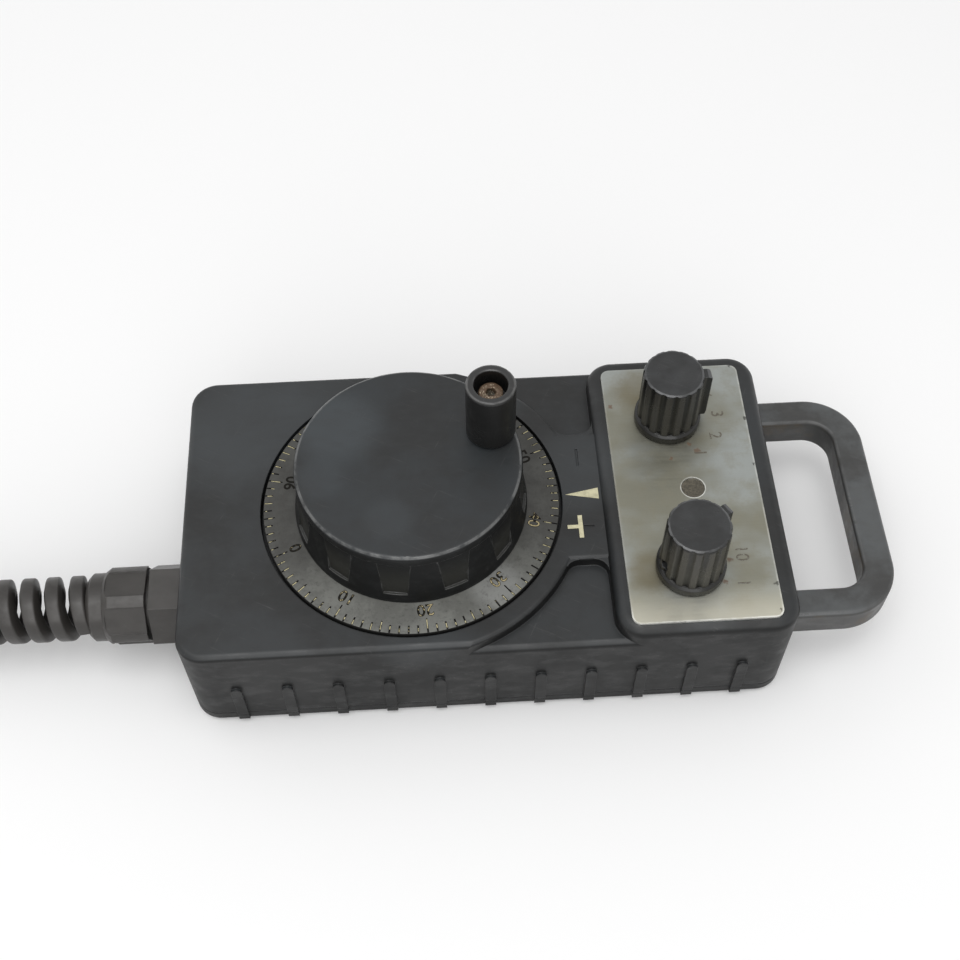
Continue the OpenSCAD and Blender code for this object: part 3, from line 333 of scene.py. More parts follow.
def finger_flat(tree):
    """1 at the foot of the wheel's finger flats, fading to 0 under the rim; 0 on the lands between them."""
    height = along(tree, place(tree), 2)
    aside = times(tree, off_beat(tree, FLAT_ANGLE, FLAT_STEP), SKIRT_RADIUS)
    taper = {"Value": height, "From Min": FLAT_FOOT, "From Max": FLAT_TOP,
             "To Min": FLAT_FOOT_WIDTH / 2, "To Max": FLAT_TOP_WIDTH / 2}
    half = add(tree, "ShaderNodeMapRange", taper).outputs[0]
    within = between(tree, calc(tree, "SUBTRACT", aside, half), 0.1, -0.1)
    return times(tree, within, between(tree, height, FLAT_TOP + 0.3, FLAT_FOOT + 2),
                 between(tree, height, FLAT_FOOT - 0.3, FLAT_FOOT + 0.1))


# %% Grime, painted sheen and scuffs
def grime_and_sheen(tree, tint, bloom, wall, grime, sheen_patches):
    """Grime on upright faces, and pale patches of painted sheen about points, laid over a tint."""
    if grime:
        greasy = between(tree, speckle(tree, place(tree), 0.11, 4.0, 0.6), 0.47, 0.62)
        tint = blend_colour(tree, times(tree, wall, greasy), tint, grime)
    # Painted sheen: each patch lightens the tint towards the bloom colour made 2.2 times lighter.
    for centre, radius, amount in sheen_patches:
        patch = times(tree, disc(tree, place(tree), centre, radius), amount)
        tint = blend_colour(tree, patch, tint, scaled(bloom, 2.2))
    return tint


def scuffed(tree, tint, colour, smears, dust):
    """Dusty smears, scratches within them, and pale specks, laid over a tint."""
    dusty = tuple(c * 1.5 + 0.010 for c in colour)
    tint = blend_colour(tree, times(tree, smears, dust), tint, dusty)
    marks = calc(tree, "MAXIMUM", scratches(tree, 0.5), scratches(tree, -1.1, 0.66))
    tint = blend_colour(tree, times(tree, marks, smears, 0.35), tint, (0.09, 0.09, 0.09))
    return blend_colour(tree, specks(tree, 14.0, 0.16, 0.35), tint, (0.5, 0.49, 0.45))


print("helpers: stained, scuffed")


# %% Plastic
def plastic(name, colour, bloom, roughness, grain=0.003, edge=0.5, edge_radius=0.45, dust=0.25,
            edge_colour=(0.13, 0.13, 0.125), soft=0.2, cloud=0.05, sheen_patches=(), polish_and_highlight=0.35, walls=1.0,
            wall_gloss=0.5, grime=None, shoulders_from=None, flutes=None, flats=None):
    """Worn moulded plastic.

    colour and bloom are its clean and its cloudy tint; cloud is how fine the clouds are, grain the depth
    of the moulded texture, soft the radius that its edges are rounded by, and dust the share of dust.
    Edges of edge_radius are worn pale to edge_colour by edge, and shoulders above shoulders_from by polish;
    both also stand for painted highlights. walls is the tint's share on upright faces, which paints shade
    there, and wall_gloss the gloss on them; grime dirties them. hazes are pale patches of painted sheen
    (centre, radius, amount). flutes paints shade and highlights on a knob's sides, and flats paints a
    reflection on the wheel's finger flats.
    """
    made, tree, shader = finish(name)
    clouds = between(tree, speckle(tree, place(tree), cloud, 5.0, 0.6), 0.38, 0.66)
    smears = between(tree, speckle(tree, place(tree, (0.5, 1.3, 1)), 0.33, 5.0, 0.65), 0.4, 0.75)
    patchy = between(tree, speckle(tree, place(tree), 0.35, 3.0, 0.6), 0.3, 0.6)
    wall = between(tree, along(tree, surface_normal(tree), 2), 0.75, 0.35)
    gloss = between(tree, wall, 0, 1, 0.5, wall_gloss)
    tint = blend_colour(tree, clouds, colour, bloom)
    # Painted shade: upright faces are darkened where walls is below 1.
    tint = blend_colour(tree, wall, tint, scaled(colour, walls))
    # Painted reflection: the wheel's finger flats take the paler flats colour and more gloss.
    if flats:
        flat = finger_flat(tree)
        tint = blend_colour(tree, flat, tint, flats)
        gloss = calc(tree, "ADD", gloss, times(tree, flat, 0.13))
    tint = grime_and_sheen(tree, tint, bloom, wall, grime, sheen_patches)
    tint = scuffed(tree, tint, colour, smears, dust)
    # Pale edges: worn pale, and also a painted highlight.
    wear_and_sheen = times(tree, solid_edges(tree, edge_radius), patchy, edge)
    tint = blend_colour(tree, wear_and_sheen, tint, edge_colour)
    # Painted shade in a knob's flutes and on its foot ring, painted highlights on its ridges.
    if flutes:
        tint = fluted(tree, tint, wall, flutes)
    # Shoulders: worn smooth, and also a painted highlight in the edge colour.
    shoulder = times(tree, rounded_shoulder(tree), patchy, polish_and_highlight)
    if shoulders_from:
        high = between(tree, along(tree, place(tree), 2), shoulders_from - 1, shoulders_from)
        shoulder = times(tree, shoulder, high)
    tint = blend_colour(tree, shoulder, tint, edge_colour)
    rough = calc(tree, "ADD", between(tree, smears, 0, 1, roughness + 0.05, roughness - 0.06),
                 between(tree, clouds, 0, 1, 0.05, -0.05))
    polish_and_sheen = times(tree, calc(tree, "MAXIMUM", wear_and_sheen, shoulder), 0.2)
    rough = calc(tree, "SUBTRACT", rough, polish_and_sheen)
    coarse = relief(tree, speckle(tree, place(tree), 0.12, 3.0, 0.5), 0.02, softened(tree, soft))
    bumps = relief(tree, speckle(tree, place(tree), 3.2, 2.0, 0.5), grain, coarse)
    dress(tree, shader, Base_Color=tint, Specular_IOR_Level=gloss, Roughness=rough, Normal=bumps)
    return made


print("helper: plastic")

# %% Moulded pieces
# Pale patches of painted sheen on the case top and the wheel top: (centre, radius, amount).
CASE_SHEEN_PATCHES = (((-34, 20, 27), 16, 0.5), ((-20, 30, 27), 9, 0.4), ((34, 6, 27), 11, 0.45),
              ((0, -33, 27), 8, 0.3))
WHEEL_SHEEN_PATCHES = (((-14, 9, 42), 9, 0.75), ((-4, -13, 42), 5, 0.35), ((-17, -3, 42), 5, 0.4))
# walls below 1 paints shade on upright faces; polish also paints highlights on shoulders.
case_plastic = plastic("case_plastic", (0.0100, 0.0104, 0.0104), (0.0205, 0.0232, 0.0250), 0.43, soft=0.3,
                       edge=0.12, edge_radius=0.3, edge_colour=(0.05, 0.05, 0.048), polish_and_highlight=0.03,
                       walls=0.6, wall_gloss=0.27, sheen_patches=CASE_SHEEN_PATCHES)
handle_plastic = plastic("handle_plastic", (0.040, 0.040, 0.039), (0.083, 0.088, 0.090), 0.4, edge=0.6,
                         edge_radius=0.8, edge_colour=(0.12, 0.12, 0.12), cloud=0.09, dust=0.4,
                         grime=(0.060, 0.048, 0.034))
wheel_plastic = plastic("wheel_plastic", (0.0105, 0.0112, 0.0115), (0.019, 0.0225, 0.025), 0.42,
                        grain=0.0015, edge=0.45, edge_radius=0.3, dust=0.3, edge_colour=(0.15, 0.152, 0.15),
                        soft=0.3, sheen_patches=WHEEL_SHEEN_PATCHES, polish_and_highlight=0.7, walls=0.5, wall_gloss=0.2,
                        flats=(0.0165, 0.0165, 0.0138))
knob_plastic = plastic("knob_plastic", (0.017, 0.0174, 0.0176), (0.034, 0.0355, 0.0365), 0.28, grain=0.001,
                       edge=0.15, edge_radius=0.25, edge_colour=(0.11, 0.112, 0.115), dust=0.6, soft=0.3,
                       cloud=0.16, polish_and_highlight=0.7, walls=0.4, wall_gloss=0.34, shoulders_from=36,
                       flutes=(0.034, 0.032, 0.0275))
grip_plastic = plastic("grip_plastic", (0.021, 0.021, 0.0205), (0.030, 0.030, 0.030), 0.36, grain=0.001,
                       edge=0.5, edge_radius=0.4, dust=0.15, edge_colour=(0.10, 0.10, 0.098), soft=0.35,
                       polish_and_highlight=0.9, walls=0.28)
gland_plastic = plastic("gland_plastic", (0.030, 0.0275, 0.025), (0.050, 0.0465, 0.043), 0.38, grain=0.001,
                        edge=0.4, edge_radius=0.35, edge_colour=(0.08, 0.076, 0.072), soft=0.3)
inner_plastic = plastic("inner_plastic", (0.012, 0.012, 0.013), (0.02, 0.02, 0.02), 0.5, edge=0.1)
use(case_plastic, "front_case", "back_cover")
use(handle_plastic, "carry_handle")
use(wheel_plastic, "handwheel")
use(knob_plastic, "axis_knob", "step_knob")
use(grip_plastic, "crank_grip")
use(gland_plastic, "gland_body", "gland_dome_nut", "gland_spiral")
use(inner_plastic, "encoder_body", "encoder_cover", "axis_switch", "step_switch")
print("plastics:", len([m for m in bpy.data.materials if m.name.endswith("_plastic")]))

# %% [markdown]
# ## Dial ring
# The dial ring is turned, so its marks of wear run round it. The distance from the axis drives a fine
# noise, which gives concentric lines; dirt sits in clouds over it, and the engraved divisions are painted
# dark. The near side and a patch towards the front carry a painted sheen, and its edges are worn pale
# and painted as highlights.

# %% Divisions of the ring
ZERO_ANGLE = math.radians(-157.5)
DIVISIONS = 100
RING_SEAT_RADIUS, RING_SEAT_HEIGHT = 23.4, 27.7
RING_EDGE_RADIUS, RING_EDGE_HEIGHT = 29.7, 27.3
RING_SLOPE = (RING_SEAT_HEIGHT - RING_EDGE_HEIGHT) / (RING_EDGE_RADIUS - RING_SEAT_RADIUS)
# Centre of a pale patch of painted sheen on the ring.
SHEEN_SPOT = (15.5, -20.0, 27.6)


def dark_groove_mask(tree, radius):
    """1 in the engraved divisions, and nearly 1 in a narrow halo round each; both are painted dark."""
    fall = times(tree, calc(tree, "SUBTRACT", radius, RING_SEAT_RADIUS), RING_SLOPE)
    face = calc(tree, "SUBTRACT", RING_SEAT_HEIGHT, fall)
    sunk = calc(tree, "SUBTRACT", face, along(tree, place(tree), 2))
    aside = times(tree, off_beat(tree, ZERO_ANGLE, 2 * math.pi / DIVISIONS), radius)
    halo = times(tree, between(tree, aside, 0.24, 0.14), between(tree, radius, 28.0, 28.2), 0.8)
    return calc(tree, "MAXIMUM", between(tree, sunk, 0.02, 0.06), halo)


print("ring slope:", round(RING_SLOPE, 4))


# %% Turned ring finish
def turned_ring():
    """Turned plastic with concentric lines, dirt, darkened engraving, and painted sheen towards the front."""
    made, tree, shader = finish("ring_plastic")
    radius = from_axis(tree)
    line = add(tree, "ShaderNodeTexNoise", {"W": radius, "Scale": 7.0, "Detail": 3.0},
               noise_dimensions="1D").outputs["Fac"]
    clouds = between(tree, speckle(tree, place(tree), 0.11, 6.0, 0.7), 0.36, 0.66)
    dirt = between(tree, speckle(tree, place(tree), 1.1, 5.0, 0.75), 0.5, 0.72)
    # Painted sheen: the near side, from y = -6 to -24 mm, is lightened in patches.
    polish_and_sheen = times(tree, between(tree, along(tree, place(tree), 1), -6, -24),
                     between(tree, clouds, 0, 1, 0.55, 1.0))
    groove = dark_groove_mask(tree, radius)
    tint = blend_colour(tree, clouds, (0.030, 0.029, 0.025), (0.060, 0.060, 0.054))
    tint = blend_colour(tree, polish_and_sheen, tint, (0.165, 0.168, 0.152))
    # Painted sheen: a pale patch towards the front of the ring.
    bare = times(tree, disc(tree, place(tree), SHEEN_SPOT, 5.5), 0.5)
    tint = blend_colour(tree, bare, tint, (0.29, 0.295, 0.285))
    tint = blend_colour(tree, times(tree, line, 0.2), tint, (0.07, 0.07, 0.066))
    tint = blend_colour(tree, times(tree, dirt, 0.45), tint, (0.020, 0.019, 0.016))
    tint = blend_colour(tree, specks(tree, 5.0, 0.12, 0.5), tint, (0.3, 0.27, 0.2))
    # Edges worn pale, and also a painted highlight.
    tint = blend_colour(tree, times(tree, solid_edges(tree, 0.2), 0.2), tint, (0.15, 0.145, 0.13))
    # The engraved divisions and a narrow halo round each are painted dark.
    tint = blend_colour(tree, groove, tint, (0.004, 0.0037, 0.003))
    rough = calc(tree, "MAXIMUM", between(tree, clouds, 0, 1, 0.46, 0.33), times(tree, groove, 0.9))
    bumps = relief(tree, line, 0.01, relief(tree, dirt, 0.006, softened(tree, 0.1, samples=4)))
    dress(tree, shader, Base_Color=tint, Roughness=rough, Normal=bumps)
    return made


ring_plastic = turned_ring()
use(ring_plastic, "dial_ring")
print("ring finished")

# %% [markdown]
# ## Paint, metals, rubber, boards
# The metal plate is worn brushed steel: short brush lines along it, cloudy tarnish, and small brown
# stains where drops have stood. Its sheared edge shows bare metal; that edge, its upright sides, a ring
# round the lens and the near strip of its top carry painted highlights and reflections, strongest on the
# near side. Knocks have left small dents along the edge, painted dark as shade. Stains, tarnish and
# dents are ragged discs about points on the plate.


# %% Edges of the plate
PLATE_CORNER = 1.8
LENS_RING = (2.5, 2.66)
STAINS = (((42.3, 20.1, 29.0), 0.45), ((57.6, 9.7, 29.0), 0.55), ((53.4, 6.3, 29.0), 0.4),
          ((61.6, -18.2, 29.0), 0.6), ((59.9, -23.0, 29.0), 0.6), ((58.9, 7.9, 29.0), 0.7))
TARNISH = (((49.0, 24.0, 29.0), 6.0), ((62.0, -29.0, 29.0), 3.0), ((46.0, -20.0, 29.0), 5.0))
# Dents along the plate's edge, each painted as a dark spot of shade: (centre, radius).
DENTS = (((69.7, -23.9, 29.0), 0.42), ((70.1, 15.6, 29.0), 0.38), ((68.9, 29.6, 29.0), 0.5),
         ((51.0, -31.4, 29.0), 0.4), ((70.0, 4.0, 29.0), 0.3), ((69.6, -29.6, 29.0), 0.4))


def border_distance(tree, where, low, high, corner):
    """Distance in millimetres to a rounded rectangle's outline seen from above, negative inside it."""
    apart = []
    for axis in (0, 1):
        centre = (low[axis] + high[axis]) / 2
        half = (high[axis] - low[axis]) / 2 - corner
        off = calc(tree, "ABSOLUTE", calc(tree, "SUBTRACT", along(tree, where, axis), centre))
        apart.append(calc(tree, "SUBTRACT", off, half))
    outside = [calc(tree, "MAXIMUM", a, 0.0) for a in apart]
    flat = add(tree, "ShaderNodeCombineXYZ", {0: outside[0], 1: outside[1]}).outputs[0]
    inside = calc(tree, "MINIMUM", calc(tree, "MAXIMUM", *apart), 0.0)
    return calc(tree, "SUBTRACT", calc(tree, "ADD", vector(tree, "LENGTH", flat), inside), corner)


def cut_edges(tree, where):
    """1 on the plate's sheared edge and in a ring round its lens: bare metal, painted as a highlight that is
    strongest on the near side.
    """
    low, high = corners("panel_plate")
    lens = middle("indicator_lens")
    from_lens = vector(tree, "DISTANCE", where, (lens.x, lens.y, high.z))
    ring = between(tree, from_lens, LENS_RING[1], LENS_RING[0], 0.0, 0.9)
    rim = between(tree, border_distance(tree, where, low, high, PLATE_CORNER), -0.36, -0.2)
    near_side = between(tree, along(tree, where, 1), -27, -31, 0.12, 1.0)
    loop_end = between(tree, along(tree, where, 0), 66, 69.5, 0.12, 0.4)
    uneven = between(tree, speckle(tree, where, 0.5, 3.0), 0.3, 0.6, 0.35, 1.0)
    lit = times(tree, rim, uneven, calc(tree, "MAXIMUM", near_side, loop_end))
    return calc(tree, "MAXIMUM", lit, times(tree, ring, uneven))


print("helpers: border_distance, cut_edges")


# %% Brushed plate finish
def brushed_plate():
    """Worn brushed steel with tarnish, stains, painted highlights on its cut edge, sides and near strip, and
    dents painted dark.
    """
    made, tree, shader = finish("plate_metal")
    where = place(tree)
    brush = speckle(tree, place(tree, (0.05, 3.0, 1)), 1.6, 4.0, 0.7)
    clouds = between(tree, speckle(tree, place(tree, (1, 1.5, 1)), 0.05, 3.0, 0.5), 0.36, 0.64)
    mottle = between(tree, speckle(tree, where, 0.32, 6.0, 0.7), 0.42, 0.68)
    # Painted reflection: the near strip of the top, y below -22 mm, is lightened.
    wear_and_sheen = between(tree, along(tree, where, 1), -22, -31, 0, 0.8)
    stain = discs(tree, where, STAINS)
    # Painted reflection: the plate's upright sides are made nearly white, like the cut edge.
    side = between(tree, along(tree, surface_normal(tree), 2), 0.8, 0.4, 0.0, 1.5)
    bright = calc(tree, "MAXIMUM", cut_edges(tree, where), side)
    tint = blend_colour(tree, clouds, (0.26, 0.255, 0.205), (0.38, 0.4, 0.385))
    tint = blend_colour(tree, times(tree, mottle, 0.35), tint, (0.26, 0.245, 0.185))
    tint = blend_colour(tree, times(tree, discs(tree, where, TARNISH), 0.5), tint, (0.17, 0.14, 0.075))
    tint = blend_colour(tree, wear_and_sheen, tint, (0.62, 0.60, 0.50))
    tint = blend_colour(tree, times(tree, stain, 0.75), tint, (0.11, 0.05, 0.02))
    # Painted highlights and reflections: cut edge, lens ring and sides turn nearly white.
    tint = blend_colour(tree, calc(tree, "MULTIPLY", bright, 0.75, clamp=True), tint, (0.95, 0.95, 0.9))
    # Painted shade in the dents along the edge.
    tint = blend_colour(tree, times(tree, discs(tree, where, DENTS), 0.7), tint, (0.03, 0.028, 0.025))
    shine = calc(tree, "SUBTRACT", 0.9, times(tree, stain, 0.8))
    rough = calc(tree, "ADD", between(tree, brush, 0.3, 0.7, 0.36, 0.5), times(tree, mottle, 0.08))
    bumps = relief(tree, brush, 0.003, relief(tree, clouds, 0.02))
    dress(tree, shader, Base_Color=tint, Metallic=shine, Roughness=rough, Normal=bumps)
    return made


plate_metal = brushed_plate()
use(plate_metal, "panel_plate")
print("plate:", len(STAINS), "stains and", len(DENTS), "dents")


# %% Metal
def metal(name, colour, dark, roughness, rust=0.0, rust_colour=(0.12, 0.055, 0.03), socket=None):
    """Mottled metal; rust is its rusty share, and socket gives painted shade in a screw's socket and painted
    glints on its head (x, y, z of its mouth, radius).
    """
    made, tree, shader = finish(name)
    mottle = between(tree, speckle(tree, place(tree), 1.5, 5.0, 0.7), 0.35, 0.7)
    tint = blend_colour(tree, mottle, colour, dark)
    cover = 0.0
    if rust:
        cover = between(tree, speckle(tree, place(tree), 1.1, 5.0, 0.7), 0.62 - 0.5 * rust, 0.75 - 0.5 * rust)
        tint = blend_colour(tree, cover, tint, rust_colour)
    if socket:
        x, y, mouth, radius = socket
        # Painted shade: the socket is darkened below its mouth.
        deep = between(tree, along(tree, place(tree), 2), mouth, mouth - 0.35)
        hole = times(tree, disc(tree, place(tree), (x, y, mouth - 0.6), radius), deep, 0.9)
        tint = blend_colour(tree, hole, tint, (0.02, 0.018, 0.01))
        # Painted glints: pale specks stand for highlights on the head.
        glints = between(tree, speckle(tree, place(tree), 3.4, 2.0, 0.5), 0.62, 0.68, 0.0, 0.8)
        cover = calc(tree, "SUBTRACT", cover, glints, clamp=True)
        tint = blend_colour(tree, glints, tint, (0.75, 0.66, 0.5))
    shine = calc(tree, "SUBTRACT", 1.0, times(tree, cover, 0.85))
    rough = between(tree, mottle, 0, 1, roughness, roughness + 0.18)
    bumps = relief(tree, speckle(tree, place(tree), 4.0, 4.0, 0.7), 0.01 + 0.06 * rust)
    dress(tree, shader, Base_Color=tint, Metallic=shine, Roughness=rough, Normal=bumps)
    return made


print("helper: metal")

# %% Metal pieces
steel = metal("steel", (0.55, 0.55, 0.53), (0.35, 0.35, 0.34), 0.3)
shaft_steel = metal("shaft_steel", (0.6, 0.59, 0.56), (0.45, 0.44, 0.42), 0.22)
black_steel = metal("black_steel", (0.1, 0.1, 0.1), (0.05, 0.05, 0.05), 0.4)
nickel_brass = metal("nickel_brass", (0.62, 0.58, 0.46), (0.45, 0.4, 0.3), 0.28)
bronze = metal("bronze", (0.5, 0.36, 0.18), (0.35, 0.24, 0.12), 0.4)
code_disc = metal("code_disc", (0.75, 0.76, 0.78), (0.6, 0.6, 0.62), 0.12)
screw_middle, screw_top = middle("crank_screw"), corners("crank_screw")[1].z
rusty_steel = metal("rusty_steel", (0.36, 0.3, 0.22), (0.1, 0.075, 0.05), 0.42, rust=0.55,
                    rust_colour=(0.125, 0.08, 0.05),
                    socket=(screw_middle.x, screw_middle.y, screw_top - 0.25, 1.15))
use(steel, "case_screws", "handle_screws", "ring_screws", "encoder_screws", "board_screws", "gland_locknut")
use(shaft_steel, "encoder_shaft", "axis_shaft", "step_shaft", "crank_sleeve")
use(black_steel, "hub_set_screw", "axis_set_screw", "step_set_screw")
use(nickel_brass, "switch_nuts")
use(bronze, "encoder_bushes")
use(code_disc, "encoder_disc")
use(rusty_steel, "crank_screw")
metals = (steel, shaft_steel, black_steel, nickel_brass, bronze, code_disc, rusty_steel)
print("metals:", [m.name for m in metals])


# %% Paint
def paint(name, colour, ground, kept, scale=2.2, uneven=0.0, far_loss=0.0):
    """Cream paint that has chipped away in places and shows the dark ground. kept is the share left, and
    far_loss is how much more is gone on the side away from the hand, where y is above 0."""
    made, tree, shader = finish(name)
    broad = times(tree, calc(tree, "SUBTRACT", speckle(tree, place(tree), 0.12, 2.0), 0.5), uneven)
    chips = calc(tree, "ADD", speckle(tree, place(tree), scale, 5.0, 0.7), broad)
    if far_loss:
        worn = between(tree, along(tree, place(tree), 1), -3, 3, 0.0, far_loss)
        chips = calc(tree, "SUBTRACT", chips, worn)
    stain = between(tree, speckle(tree, place(tree), 0.7, 3.0, 0.6), 0.35, 0.75)
    line = 0.5 + 0.28 * (0.5 - kept)
    bare = between(tree, chips, line + 0.03, line - 0.03)
    painted = blend_colour(tree, times(tree, stain, 0.6), colour, scaled(colour, 0.5))
    chipped = blend_colour(tree, times(tree, stain, 0.4), ground, scaled(ground, 1.8))
    tint = blend_colour(tree, bare, painted, chipped)
    dress(tree, shader, Base_Color=tint, Normal=relief(tree, chips, 0.04))
    shader.inputs["Roughness"].default_value = 0.7
    shader.inputs["Specular IOR Level"].default_value = 0.15
    return made


mark_paint = paint("mark_paint", (0.66, 0.62, 0.42), (0.05, 0.048, 0.04), 1.25)
line_paint = paint("line_paint", (0.62, 0.56, 0.34), (0.006, 0.0055, 0.0045), 0.6, 1.6, 0.9)
number_paint = paint("number_paint", (0.5, 0.42, 0.24), (0.009, 0.008, 0.006), 0.45, 1.5, 1.2, 0.25)
# Dark strokes for the engraved number grooves.
groove_dirt = paint("groove_dirt", (0.05, 0.042, 0.026), (0.0085, 0.0075, 0.0055), -0.4, 2.6)
use(mark_paint, "index_marks")
print("paints:", len([m for m in bpy.data.materials if m.name.endswith("_paint")]))


# %% Lens, rubber and boards
def plain(name, colour, other, roughness, scale=0.8, bump=0.01, coat=0.0):
    """A simple mottled finish of two close colours, under a clear coat where coat is above 0."""
    made, tree, shader = finish(name)
    mottle = between(tree, speckle(tree, place(tree), scale, 5.0, 0.65), 0.35, 0.7)
    rough = between(tree, mottle, 0, 1, roughness, roughness + 0.12)
    bumps = relief(tree, speckle(tree, place(tree), 3.0, 3.0), bump)
    dress(tree, shader, Base_Color=blend_colour(tree, mottle, colour, other), Roughness=rough, Normal=bumps)
    shader.inputs["Coat Weight"].default_value = coat
    return made


lens_plastic = plain("lens_plastic", (0.045, 0.038, 0.024), (0.12, 0.105, 0.07), 0.35, 2.4, 0.04, coat=0.4)
lamp_epoxy = plain("lamp_epoxy", (0.7, 0.68, 0.6), (0.6, 0.58, 0.5), 0.2)
rubber = plain("rubber", (0.012, 0.012, 0.012), (0.02, 0.02, 0.019), 0.75)
board = plain("board", (0.02, 0.09, 0.035), (0.03, 0.12, 0.05), 0.35, 0.4)
terminal_plastic = plain("terminal_plastic", (0.03, 0.16, 0.07), (0.04, 0.2, 0.09), 0.45)
use(lens_plastic, "indicator_lens")
use(lamp_epoxy, "indicator_lamp")
use(rubber, "case_gasket", "gland_washer", "gland_seal")
use(board, "circuit_board", "encoder_board")
use(terminal_plastic, "terminal_block")
print(len(bpy.data.materials), "materials")

# %% [markdown]
# ## Numbers round the dial
# The ring carries a number at every tenth division, its foot towards the wheel. Text objects would do,
# but a text object can't sit on a cone, so each number is turned into a mesh and every point is set to
# the ring's height there, a hair above the surface. Two copies lie on each other: wide dark strokes for
# the engraved groove, and narrow ones above them for the paint that is left in it.

# %% Height of the ring
NUMBER_FOOT = 23.95 * MM
NUMBER_HEIGHT = 2.4 * MM
CAPITAL_SHARE = 0.71
LONGEST_EDGE = 0.4 * MM


def ring_height(distance):
    """Height of the ring's sloping face at a distance from the axis, both in metres."""
    reach = min(max(distance / MM, RING_SEAT_RADIUS), RING_EDGE_RADIUS)
    return (RING_SEAT_HEIGHT - (reach - RING_SEAT_RADIUS) * RING_SLOPE) * MM


print("ring height at its edge:", round(ring_height(RING_EDGE_RADIUS * MM) / MM, 2))


# %% Text as a mesh
def text_mesh(text, height, widen=0.0):
    """Flat faces of a text, standing on the X axis and centred on it, with capitals of that height."""
    curve = bpy.data.curves.new("words", "FONT")
    curve.body = text
    curve.align_x = "CENTER"
    curve.size = height / CAPITAL_SHARE
    curve.offset = widen
    curve.resolution_u = 4
    holder = bpy.data.objects.new("words", curve)
    bpy.context.scene.collection.objects.link(holder)
    bpy.context.view_layer.update()
    mesh = bpy.data.meshes.new_from_object(holder.evaluated_get(bpy.context.evaluated_depsgraph_get()))
    bpy.data.objects.remove(holder)
    return mesh


def to_object(name, mesh, material):
    """An object in the scene that shows a mesh in one material."""
    mesh.materials.clear()
    mesh.materials.append(material)
    made = bpy.data.objects.new(name, mesh)
    bpy.context.scene.collection.objects.link(made)
    return made


def lettering(name, entries, material, lift):
    """One mesh of several texts. An entry is (text, height, matrix, widen); lift gives z for a point."""
    build = bmesh.new()
    for text, height, matrix, widen in entries:
        mesh = text_mesh(text, height, widen)
        mesh.transform(matrix)
        build.from_mesh(mesh)
        bpy.data.meshes.remove(mesh)
    long_edges = [e for e in build.edges if e.calc_length() > LONGEST_EDGE]
    bmesh.ops.subdivide_edges(build, edges=long_edges, cuts=2)
    for v in build.verts:
        v.co.z = lift(v.co)
    bmesh.ops.triangulate(build, faces=build.faces)
    bmesh.ops.recalc_face_normals(build, faces=build.faces)
    for f in build.faces:
        if f.normal.z < 0:
            f.normal_flip()
    mesh = bpy.data.meshes.new(name)
    build.to_mesh(mesh)
    build.free()
    mesh.validate()
    return to_object(name, mesh, material)


print("helpers: text_mesh, to_object, lettering")


# %% Dial numbers
def dial_texts(widen):
    """The ten numbers as entries for lettering, each stroke widened on both sides."""
    entries = []
    for tens in range(10):
        angle = ZERO_ANGLE + math.radians(36 * tens)
        stand = Matrix.Rotation(angle, 4, "Z") @ Matrix.Translation((NUMBER_FOOT, 0, 0))
        entries.append((str(tens * 10), NUMBER_HEIGHT, stand @ Matrix.Rotation(-math.pi / 2, 4, "Z"), widen))
    return entries


dial_grooves = lettering("dial_number_grooves", dial_texts(0.07 * MM), groove_dirt,
                         lambda p: ring_height(p.to_2d().length) + 0.012 * MM)
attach(dial_grooves, "wheel")
dial_numbers = lettering("dial_numbers", dial_texts(-0.03 * MM), number_paint,
                         lambda p: ring_height(p.to_2d().length) + 0.024 * MM)
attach(dial_numbers, "wheel")
print("numbers:", len(dial_numbers.data.polygons), "faces")

# %% [markdown]
# ## Paint in the division lines
# A hundred engraved lines carry paint. They repeat round a circle, which is what Geometry Nodes are for:
# points on a circle, one bar on each, a longer bar where the number divides by five or ten. Each bar
# keeps a random share of its groove's length, as chipped paint does.


# %% Helpers for Geometry Nodes
def geometry_tree(name, **sizes):
    """A geometry tree with one named input per size. Returns (tree, input node, output node)."""
    tree = bpy.data.node_groups.new(name, "GeometryNodeTree")
    for key, value in sizes.items():
        kind = "NodeSocketInt" if isinstance(value, int) else "NodeSocketFloat"
        tree.interface.new_socket(key.replace("_", " "), in_out="INPUT", socket_type=kind)
    tree.interface.new_socket("Geometry", in_out="OUTPUT", socket_type="NodeSocketGeometry")
    return tree, tree.nodes.new("NodeGroupInput"), tree.nodes.new("NodeGroupOutput")


def bake_tree(name, tree, sizes, material):
    """Runs a geometry tree on an empty mesh and keeps the result as a plain mesh object."""
    carrier = bpy.data.objects.new("carrier", bpy.data.meshes.new("carrier"))
    bpy.context.scene.collection.objects.link(carrier)
    modifier = carrier.modifiers.new("rule", "NODES")
    modifier.node_group = tree
    for item in tree.interface.items_tree:
        if item.in_out == "INPUT":
            modifier[item.identifier] = sizes[item.name.replace(" ", "_")]
    bpy.context.view_layer.update()
    mesh = bpy.data.meshes.new_from_object(carrier.evaluated_get(bpy.context.evaluated_depsgraph_get()))
    carrier.modifiers.clear()
    bpy.data.objects.remove(carrier)
    mesh.name = name
    return to_object(name, mesh, material)


print("helpers: geometry_tree, bake_tree")

# %% Lengths of the divisions
line_sizes = dict(divisions=DIVISIONS, outer_radius=29.68 * MM, short=1.55 * MM, middle=2.15 * MM,
                  long=2.85 * MM, width=0.17 * MM, thickness=0.12 * MM, zero_angle=ZERO_ANGLE,
                  outer_height=27.17 * MM, slope=RING_SLOPE)


